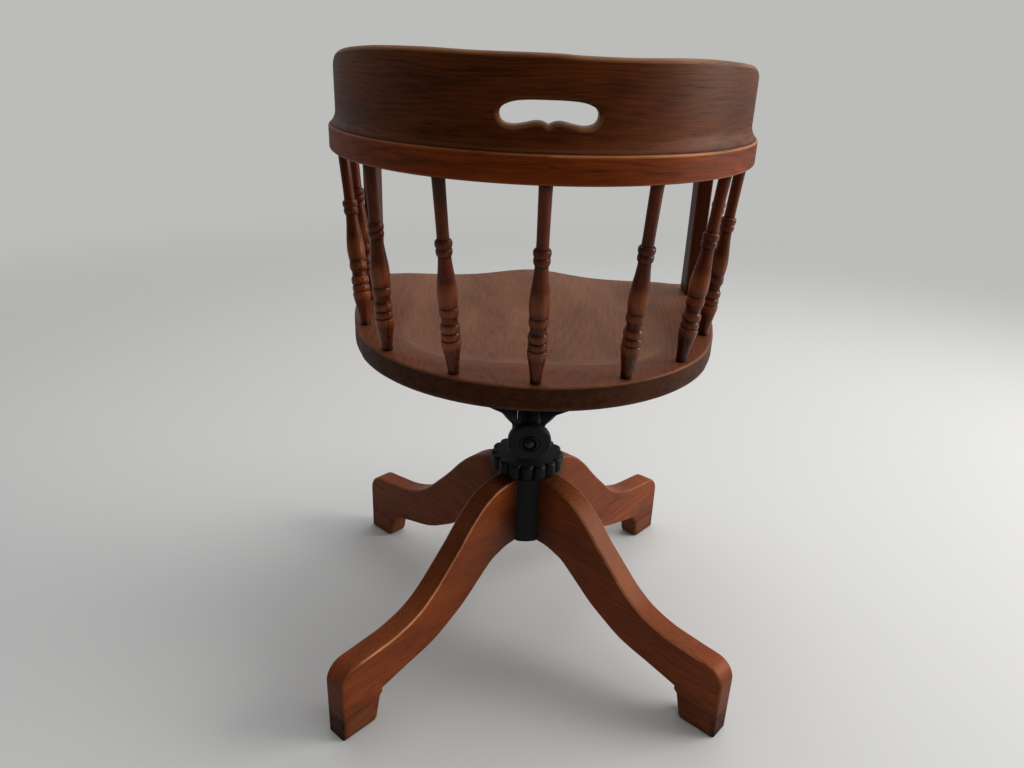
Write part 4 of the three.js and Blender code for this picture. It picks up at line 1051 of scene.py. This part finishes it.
half = arc((0, seat_back_centre), seat_back_radius, math.pi / 2, seat_arc_end, 44)
sides = [half[-1]] + [(x * seat_half_width, y * seat_front) for x, y in seat_side_shares]
half += curve_through(sides, 9)[1:]
corner_centre = (seat_half_width - seat_corner, seat_corner - seat_front)
half += arc(corner_centre, seat_corner, math.radians(-12), -math.pi / 2, 16)
half += [Vector((seat_half_width * s, -seat_front)) for s in np.linspace(0.7, 0, 16)]
seat_outline = (half + [Vector((-p.x, p.y)) for p in half[1:-1][::-1]])[::-1]
count = len(seat_outline)
rings = []
for t in quarter_turn:
    inwards, rise = seat_under_round * (1 - math.sin(t)), seat_under_round * (1 - math.cos(t))
    rings.append((inwards, rise, 0, 0.5 * math.sin(2 * t)))
for t in quarter_turn[::-1]:
    inwards, sunk = seat_edge_round * (1 - math.sin(t)), seat_edge_round * (1 - math.cos(t))
    rings.append((inwards, seat_board - sunk, 1, math.sin(2 * t)))
under_shares = (0.02, 0.3, 0.6, 0.85, 0.96)
places, wear_and_highlight = [], []
for s in under_shares:
    for p in inset(seat_outline, seat_under_round):
        places.append((p.x * s, p.y * s, seat_underside))
        wear_and_highlight.append(0)
for inwards, rise, dished, near in rings:
    for p in inset(seat_outline, inwards):
        places.append((p.x, p.y, seat_underside + rise - dished * float(hollow(p.x, p.y))))
        wear_and_highlight.append(near)
for s in (*np.linspace(0.985, 0.4, 40), *np.linspace(0.37, 0.02, 12)):
    for p in inset(seat_outline, seat_edge_round):
        places.append((p.x * s, p.y * s, seat_rim - float(hollow(p.x * s, p.y * s))))
        wear_and_highlight.append(0)
first_on_top = len(under_shares) + len(rings) - len(quarter_turn) + 1
rings = numbered(len(places) // count, count)
faces = joined(rings) + closed_ends(rings)
p = np.asarray(places)
on_top = np.arange(len(places)) >= first_on_top * count
behind = np.maximum(p[:, 1], 0)
from_edge = (abs(p[:, 0] / hollow_half_width) ** 3 + (behind / hollow_rear) ** 3) ** (1 / 3)
# The pale line across the dish's back slope is a painted sheen, laid on through the wear channel.
dish_edge_sheen = np.exp(-(((from_edge - 0.78) / 0.03) ** 2)) * smooth(p[:, 1] / (90 * mm))
in_dish = np.maximum(1 - smooth((from_edge - 0.72) / 0.14), smooth(-p[:, 1] / (140 * mm)))
wear_and_highlight = 0.3 * np.asarray(wear_and_highlight) + on_top * (0.3 * dish_edge_sheen + 0.36 * in_dish)
# The edge and the underside are darkened with painted shade, laid on through the dirt channel.
dirt_and_shade = np.where(on_top, 0, 0.75)
seat_wood = varnished_oak(
    "seat_oak", light=(108, 56, 29), dark=(69, 34, 18), worn_and_highlight=(121, 90, 70), rings=150, pith=0.13,
    taper=0.16, figure=1.6, stain=0.45,
)
grain = np.stack([p[:, 1], p[:, 0] - 0.02, p[:, 2] - seat_rim], axis=1)
piece(
    "seat_wood", places, faces, seat_wood, "seat_frame", ["seat"],
    {"grain": grain, "wear_and_highlight": wear_and_highlight, "dirt_and_shade": dirt_and_shade},
)


# Spindles: nine oak turnings, each with a foot, three beads, a long vase, a ringed neck and a
# plain shaft. Their tenons are glued into the seat and the bow. The grooves hold dark wax.
spindle_swell = 11.9 * mm
tenon_radius = 6.2 * mm
seat_tenon = 17.7 * mm
bow_tenon = 15.7 * mm
spindle_segments = 36
end_gap = 0.4 * mm
# Each run is smooth in itself and meets the next at a crease: share of length, share of swell.
spindle_runs = [
    [
        (0, 0.53), (0.035, 0.57), (0.075, 0.66), (0.12, 0.8), (0.155, 0.915), (0.172, 0.95),
        (0.18, 0.95), (0.185, 0.9),
    ],
    [(0.187, 0.82), (0.19, 0.86), (0.2, 0.905), (0.21, 0.91), (0.22, 0.89), (0.227, 0.82)],
    [(0.229, 0.8), (0.235, 0.88), (0.245, 0.925), (0.256, 0.93), (0.267, 0.9), (0.276, 0.8)],
    [(0.278, 0.77), (0.288, 0.745), (0.3, 0.75), (0.312, 0.8)],
    [(0.314, 0.84), (0.322, 0.89), (0.337, 0.91), (0.35, 0.895), (0.36, 0.85)],
    [
        (0.362, 0.83), (0.385, 0.9), (0.415, 0.945), (0.44, 0.945), (0.48, 0.89), (0.53, 0.77),
        (0.58, 0.66), (0.622, 0.6),
    ],
    [(0.624, 0.64), (0.632, 0.72), (0.645, 0.76), (0.656, 0.74), (0.662, 0.68)],
    [(0.664, 0.68), (0.67, 0.76), (0.682, 0.8), (0.695, 0.78), (0.703, 0.68)],
    [(0.705, 0.57), (0.75, 0.555), (0.87, 0.57), (0.96, 0.585), (1, 0.6)],
]
spindle_wood = varnished_oak(
    "spindle_oak", light=(110, 44, 15), dark=(38, 12, 5), worn_and_highlight=(160, 88, 48), rings=420, pith=0.03,
    taper=0.04, stain=0.9, coat=0.22, shine=0.16,
)


def turning_line(cad_node):
    """The two ends of a turned node's own line, its tenons included."""
    corners = np.array([v.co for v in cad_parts[cad_node].data.vertices])
    order = corners[:, 2].argsort()
    low, high = corners[order[:8]].mean(0), corners[order[-8:]].mean(0)
    for _ in range(3):
        line = (high - low) / np.linalg.norm(high - low)
        reach = corners @ line
        low = corners[reach < reach.min() + 0.5 * mm].mean(0)
        high = corners[reach > reach.max() - 0.5 * mm].mean(0)
    return Vector(low), Vector(high)


for i in range(9):
    low, high = turning_line(f"spindle_{i + 1}")
    line = (high - low).normalized()
    foot = low + line * seat_tenon
    length = (high - low).length - seat_tenon - bow_tenon
    profile, wax = [(-seat_tenon, tenon_radius), (fit_gap, tenon_radius)], [0.6, 0.9]
    for run in spindle_runs:
        fine = curve_through([(s * length, r * spindle_swell) for s, r in run], 3)
        profile += [(end_gap + q.x * (1 - 2 * end_gap / length), q.y) for q in fine]
        wax += [0.9] + [0.0] * (len(fine) - 2) + [0.9]
    profile += [(length - fit_gap, tenon_radius), (length + bow_tenon, tenon_radius)]
    wax += [0.9, 0.6]
    places, faces = turned(profile, foot, line, spindle_segments)
    reach, radii = np.repeat(np.array(profile), spindle_segments, axis=0).T
    turns = np.tile(full_turn * np.arange(spindle_segments) / spindle_segments, len(profile))
    sway, rise = radii * np.cos(turns), radii * np.sin(turns)
    grain = np.stack([reach + 0.7 * i, sway + 0.004 * i, rise], axis=1)
    under_bow = 0.8 * ramp(reach, length - 7 * mm, length - 3 * mm)
    on_seat = 0.7 * ramp(reach, 6 * mm, 2 * mm)
    dirt_and_shade = np.maximum(np.repeat(wax, spindle_segments), np.maximum(under_bow, on_seat))
    wear_and_highlight = 0.45 * ramp(radii / spindle_swell, 0.84, 0.94)
    piece(
        f"spindle_wood_{i + 1}", places, faces, spindle_wood, "seat_frame",
        [f"spindle_{i + 1}"], {"grain": grain, "wear_and_highlight": wear_and_highlight, "dirt_and_shade": dirt_and_shade}, crease=50,
    )


# Arm posts: two flat sawn boards, a little narrower at half height, tenoned into the seat and
# the arms. Their arrises are eased by hand.
post_waist = 3 * mm
post_front = 165 * mm
post_rear = 120 * mm
post_arris = 2.5 * mm
bow_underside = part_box("arm_left")[0].z
post_wood = varnished_oak(
    "post_oak", light=(74, 32, 15), dark=(42, 16, 7), worn_and_highlight=(120, 64, 34), rings=360, pith=0.06,
    taper=0.05,
)
post_low = seat_rim + fit_gap
post_high = bow_underside - fit_gap
for side_name in ("left", "right"):
    low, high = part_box(f"arm_post_{side_name}")
    half_height = (post_low + post_high) / 2
    sawn_in = -post_rear - 0.75 * post_waist
    rear_edge = curve_through([
        (-post_rear, post_low), (sawn_in, (post_low + half_height) / 2),
        (-post_rear - post_waist, half_height), (sawn_in, (post_high + half_height) / 2),
        (-post_rear, post_high),
    ], 6)
    front_edge = [Vector((-post_front - post_rear - q.x, q.y)) for q in rear_edge[::-1]]
    places, faces, near = rounded_board(
        rear_edge + front_edge, low.x, high.x, post_arris, lambda u, v, w: (w, u, v),
    )
    p = np.asarray(places)
    grain = np.stack([p[:, 2], p[:, 1] + 0.1, p[:, 0]], axis=1)
    wear_and_highlight = 0.55 * np.asarray(near)
    dirt_and_shade = 0.6 * ramp(p[:, 2], post_low + 7 * mm, post_low + 2 * mm)
    piece(
        f"arm_post_wood_{side_name}", places, faces, post_wood, "seat_frame",
        [f"arm_post_{side_name}"], {"grain": grain, "wear_and_highlight": wear_and_highlight, "dirt_and_shade": dirt_and_shade},
    )


# Arm bow: two thick oak halves, sawn to a curve and jointed behind the sitter under the crest,
# their arrises rounded over. Each runs out into an arm with a round nose.
arm_low, arm_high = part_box("arm_left")
bow_top = arm_high.z
bow_depth = 325 * mm
bow_centre = arm_high.y - bow_depth
bow_width = 58 * mm
arm_width = 72 * mm
arm_front = -arm_low.y
arm_outer_x = max(abs(arm_low.x), arm_high.x)
nose_radius = arm_width / 2
nose_x = arm_outer_x - nose_radius
nose_y = nose_radius - arm_front
bow_arris = 3 * mm
bow_wood = varnished_oak(
    "bow_oak", light=(140, 60, 17), dark=(58, 20, 5), worn_and_highlight=(196, 130, 82), rings=300, pith=0.05,
    taper=0.02, stain=0.55,
)


def on_bow(angle, inwards):
    """A place on the bow, half an oval in plan: its angle from the back, and how far in it lies."""
    half_across, deep = arm_outer_x - inwards, bow_depth - inwards
    return Vector((half_across * math.sin(angle), bow_centre + deep * math.cos(angle)))


turns = np.linspace(0, math.pi / 2, 47)
outer = [on_bow(a, 0) for a in turns]
outer += [Vector((arm_outer_x, bow_centre + (nose_y - bow_centre) * s)) for s in (0.25, 0.5, 0.75)]
nose = arc((nose_x, nose_y), nose_radius, 0, -math.pi, 24)
inner_x = arm_outer_x - bow_width
inner = [Vector((nose_x - nose_radius, nose_y + (bow_centre - nose_y) / 2 * s)) for s in (0.5, 1)]
inner += [Vector(((nose_x - nose_radius + inner_x) / 2, bow_centre + (nose_y - bow_centre) / 4))]
inner += [on_bow(a, bow_width) for a in turns[::-1]]
for side_name in ("left", "right"):
    towards = 1 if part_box(f"arm_{side_name}")[1].x > 100 * mm else -1
    outline = [Vector((towards * q.x, q.y)) for q in outer + nose + inner]
    places, faces, near = rounded_board(
        outline, bow_underside, bow_top, bow_arris, lambda u, v, w: (u, v, w), steps=6,
        joint=lambda a, b: max(abs(a.x), abs(b.x)) < 1 * mm,
    )
    p = np.asarray(places)
    share_x, share_y = abs(p[:, 0]) / arm_outer_x, (p[:, 1] - bow_centre) / bow_depth
    turn = np.arctan2(share_x, np.maximum(share_y, 0))
    along = turn * arm_outer_x + np.maximum(bow_centre - p[:, 1], 0)
    across = (np.hypot(share_x, np.maximum(share_y, 0)) - 1) * arm_outer_x
    grain = np.stack([along + (2 if towards > 0 else 0), p[:, 2] - bow_underside, across], axis=1)
    # The arrises are paled: a little rubbed varnish, and along the top arris a painted highlight,
    # strongest toward the sitter's right end.
    highlight_along = np.maximum(ramp(p[:, 0], 120 * mm, -80 * mm), 0.25)
    wear_and_highlight = highlight_along * np.asarray(near) * np.where(p[:, 2] > bow_underside + 15 * mm, 0.65, 0.25)
    dirt_and_shade = 0.5 * ramp(p[:, 2], bow_underside + 1 * mm, bow_underside)
    piece(
        f"arm_wood_{side_name}", places, faces, bow_wood, "seat_frame", [f"arm_{side_name}"],
        {"grain": grain, "wear_and_highlight": wear_and_highlight, "dirt_and_shade": dirt_and_shade},
    )


# Crest rail: an oak board bent round the back, thin at its rounded top and coved out at its foot
# onto the bow, swept down at both ends. The hand hole is cut through it, with a small point in the
# middle of its lower edge, and its edges are rounded. Four screws from under the bow hold it.
crest_foot = bow_top + fit_gap
crest_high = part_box("crest_rail")[1]
crest_full = crest_high.z - crest_foot
crest_setback = bow_centre + bow_depth - crest_high.y
crest_foot_thickness = 32 * mm
crest_top_thickness = 20 * mm
crest_end_height = 12 * mm
crest_half_angle = math.radians(86)
crest_cove = 6.5 * mm
crest_cove_height = 15 * mm
crest_top_round = 5 * mm
hole_centre_z = bow_top + 35.6 * mm
hole_half_width = 47.4 * mm
hole_half_height = 11.5 * mm
hole_arris = 5 * mm
patch_half = 68 * mm
patch_share = 0.175
patch_ring_shares = (0.72, 0.45, 0.22, 0.08)
crest_top_shares = [
    (-1, 0.2), (-0.96, 0.47), (-0.9, 0.66), (-0.83, 0.8), (-0.77, 0.87), (-0.7, 0.92), (-0.54, 0.957),
    (-0.4, 0.975), (-0.2, 0.963), (-0.08, 0.968), (0, 0.983), (0.19, 0.986), (0.32, 1), (0.45, 1),
    (0.55, 0.988), (0.675, 0.955), (0.77, 0.9), (0.83, 0.82), (0.9, 0.67), (0.96, 0.47), (1, 0.2),
]
hole_shares = [
    (0, -0.92), (0.12, -0.7), (0.27, -0.66), (0.49, -0.86), (0.73, -1), (0.93, -0.78), (1, -0.15),
    (0.93, 0.45), (0.7, 0.84), (0.37, 0.98), (0, 1),
]
crest_line = curve_through(crest_top_shares, 6)


def crest_height(q):
    """The crest's height over its foot, q going from -1 at the sitter's right end to 1 at the left."""
    share = np.interp(q, [v.x for v in crest_line], [v.y for v in crest_line])
    return max(crest_full * share, crest_end_height)


def crest_thickness(z):
    """The board's thickness at a height over its foot."""
    return crest_foot_thickness - (crest_foot_thickness - crest_top_thickness) * z / crest_full


def crest_place(q, z, t):
    """A place in the crest: q along it, z over its foot, t from its back face to its front face."""
    thick = crest_thickness(z)
    cove = crest_cove * max(0, 1 - z / crest_cove_height) ** 2
    inwards = crest_setback - cove * (1 - t) + thick * t
    turn = math.asin(patch_half * min(abs(q) / patch_share, 1) / (arm_outer_x - inwards))
    if abs(q) > patch_share:
        turn += (abs(q) - patch_share) / (1 - patch_share) * (crest_half_angle - turn)
    return (*on_bow(math.copysign(turn, q), inwards), crest_foot + z)


across_patch = 28
patch_stations = list(np.linspace(-patch_share, patch_share, across_patch + 1))
side_stations = list(patch_share + (1 - patch_share) * np.linspace(0, 1, 57)[1:])
stations = [-q for q in side_stations[::-1]] + patch_stations + side_stations
face_rows = [0, 0.03, 0.07, 0.12, 0.18, 0.23, 0.29, 0.36, 0.44, 0.52, 0.6, 0.68, 0.78, 0.88]
patch_low, patch_high = 3, 12
near_steps = 7


def crest_section(q):
    """One section: up the back face, over the rounded top, down the front face."""
    height = crest_height(q)
    round_here = min(crest_top_round, height / 2.5)
    body = height - round_here
    ring = [(z * body, 0.0, 0.0) for z in face_rows]
    over = []
    for t in np.linspace(0, math.pi / 2, near_steps):
        z = body + round_here * math.sin(t)
        over.append((z, round_here * (1 - math.cos(t)) / crest_thickness(z), math.sin(2 * t)))
    ring += over
    ring += [(z, 1 - t, near) for z, t, near in reversed(over)]
    ring += [(z * body, 1.0, 0.0) for z in reversed(face_rows)]
    return ring


sections = [crest_section(q) for q in stations]
ring = len(sections[0])
places, marks_q, near = [], [], []
for q, section in zip(stations, sections):
    for z, t, close in section:
        places.append(crest_place(q, z, t))
        marks_q.append(q)
        near.append(close)
first_patch = len(side_stations)
rings = numbered(len(stations), ring)
faces = []
for face in joined(rings):
    i, k = divmod(face[0], ring)
    in_patch = first_patch <= i < first_patch + across_patch
    rows_back = patch_low <= k < patch_high
    rows_front = ring - 1 - patch_high <= k < ring - 1 - patch_low
    if not (in_patch and (rows_back or rows_front)):
        faces.append(face)
faces += closed_ends(rings)

# The patch round the hand hole: rings of corners from the grid's edge in to the hole's own outline.
middle = across_patch // 2
loop = [(middle + k, patch_low) for k in range(middle + 1)]
loop += [(across_patch, r) for r in range(patch_low + 1, patch_high + 1)]
loop += [(c, patch_high) for c in range(across_patch - 1, -1, -1)]
loop += [(0, r) for r in range(patch_high - 1, patch_low - 1, -1)]
loop += [(c, patch_low) for c in range(1, middle)]
edge_points = [
    Vector((q / patch_share * patch_half, face_rows[r] * (crest_height(q) - crest_top_round)))
    for q, r in [(patch_stations[c], r) for c, r in loop]
]
hole_middle = hole_centre_z - crest_foot
hole_half = curve_through(
    [(x * hole_half_width, hole_middle + z * hole_half_height) for x, z in hole_shares], 12,
)
hole_closed = hole_half + [Vector((-v.x, v.y)) for v in hole_half[:-1][::-1]]
edge_closed = edge_points + edge_points[:1]
lengths = np.cumsum([0] + [(b - a).length for a, b in zip(hole_closed, hole_closed[1:])])
edge_lengths = np.cumsum([0] + [(b - a).length for a, b in zip(edge_closed, edge_closed[1:])])
hole_points = [
    Vector((
        np.interp(s, lengths / lengths[-1], [v.x for v in hole_closed]),
        np.interp(s, lengths / lengths[-1], [v.y for v in hole_closed]),
    ))
    for s in edge_lengths[:-1] / edge_lengths[-1]
]


def hole_ring(outline, face_t, sunk, close):
    """A ring of corners round the hole, so far below one of the board's faces: their numbers."""
    for v in outline:
        share = sunk / crest_thickness(v.y)
        q = v.x / patch_half * patch_share
        places.append(crest_place(q, v.y, share if face_t == 0 else 1 - share))
        marks_q.append(q)
        near.append(close)
    return list(range(len(places) - len(outline), len(places)))


rings_of_corners = []
for face_t in (0, 1):
    made = [[(first_patch + c) * ring + (r if face_t == 0 else ring - 1 - r) for c, r in loop]]
    outer_points = inset(hole_points, -hole_arris)
    for share in patch_ring_shares:
        between = [h + (e - h) * share for e, h in zip(edge_points, outer_points)]
        made.append(hole_ring(between, face_t, 0, 0))
    for a in np.linspace(0, math.pi / 2, 6):
        outline = inset(hole_points, -hole_arris * (1 - math.sin(a)))
        made.append(hole_ring(outline, face_t, hole_arris * (1 - math.cos(a)), math.sin(a)))
    rings_of_corners.append(made)
faces += joined(rings_of_corners[0] + rings_of_corners[1][::-1])

p = np.asarray(places)
q = np.asarray(marks_q)
share_x, share_y = p[:, 0] / arm_outer_x, (p[:, 1] - bow_centre) / bow_depth
z = p[:, 2] - crest_foot
grain = np.stack(
    [np.arctan2(share_x, share_y) * bow_depth, z, (np.hypot(share_x, share_y) - 1) * arm_outer_x],
    axis=1,
)
round_hole = (abs(p[:, 0]) < patch_half) & (z < 0.8 * crest_full)
# The top arris carries a painted highlight, and the hand hole's lower lip a painted sheen along with wear
# from hands; the hole's upper lip stays dark.
wear_and_highlight = np.asarray(near) * np.where(round_hole, np.where(z < hole_middle, 0.9, 0.1), 0.5)
# A dark line along the crest's foot: the glue joint onto the bow, with painted shade in the crease.
dirt_and_shade = 0.9 * ramp(z, 2.2 * mm, 0.2 * mm)
crest_wood = varnished_oak(
    "crest_oak", light=(100, 47, 17), dark=(41, 15, 5), worn_and_highlight=(164, 116, 78), rings=260, pith=0.06,
    taper=0.015, stain=0.55,
)
piece(
    "crest_wood", places, faces, crest_wood, "seat_frame", ["crest_rail"],
    {"grain": grain, "wear_and_highlight": wear_and_highlight, "dirt_and_shade": dirt_and_shade},
)
for i in range(4):
    dress(f"crest_screw_{i + 1}", dark_steel)
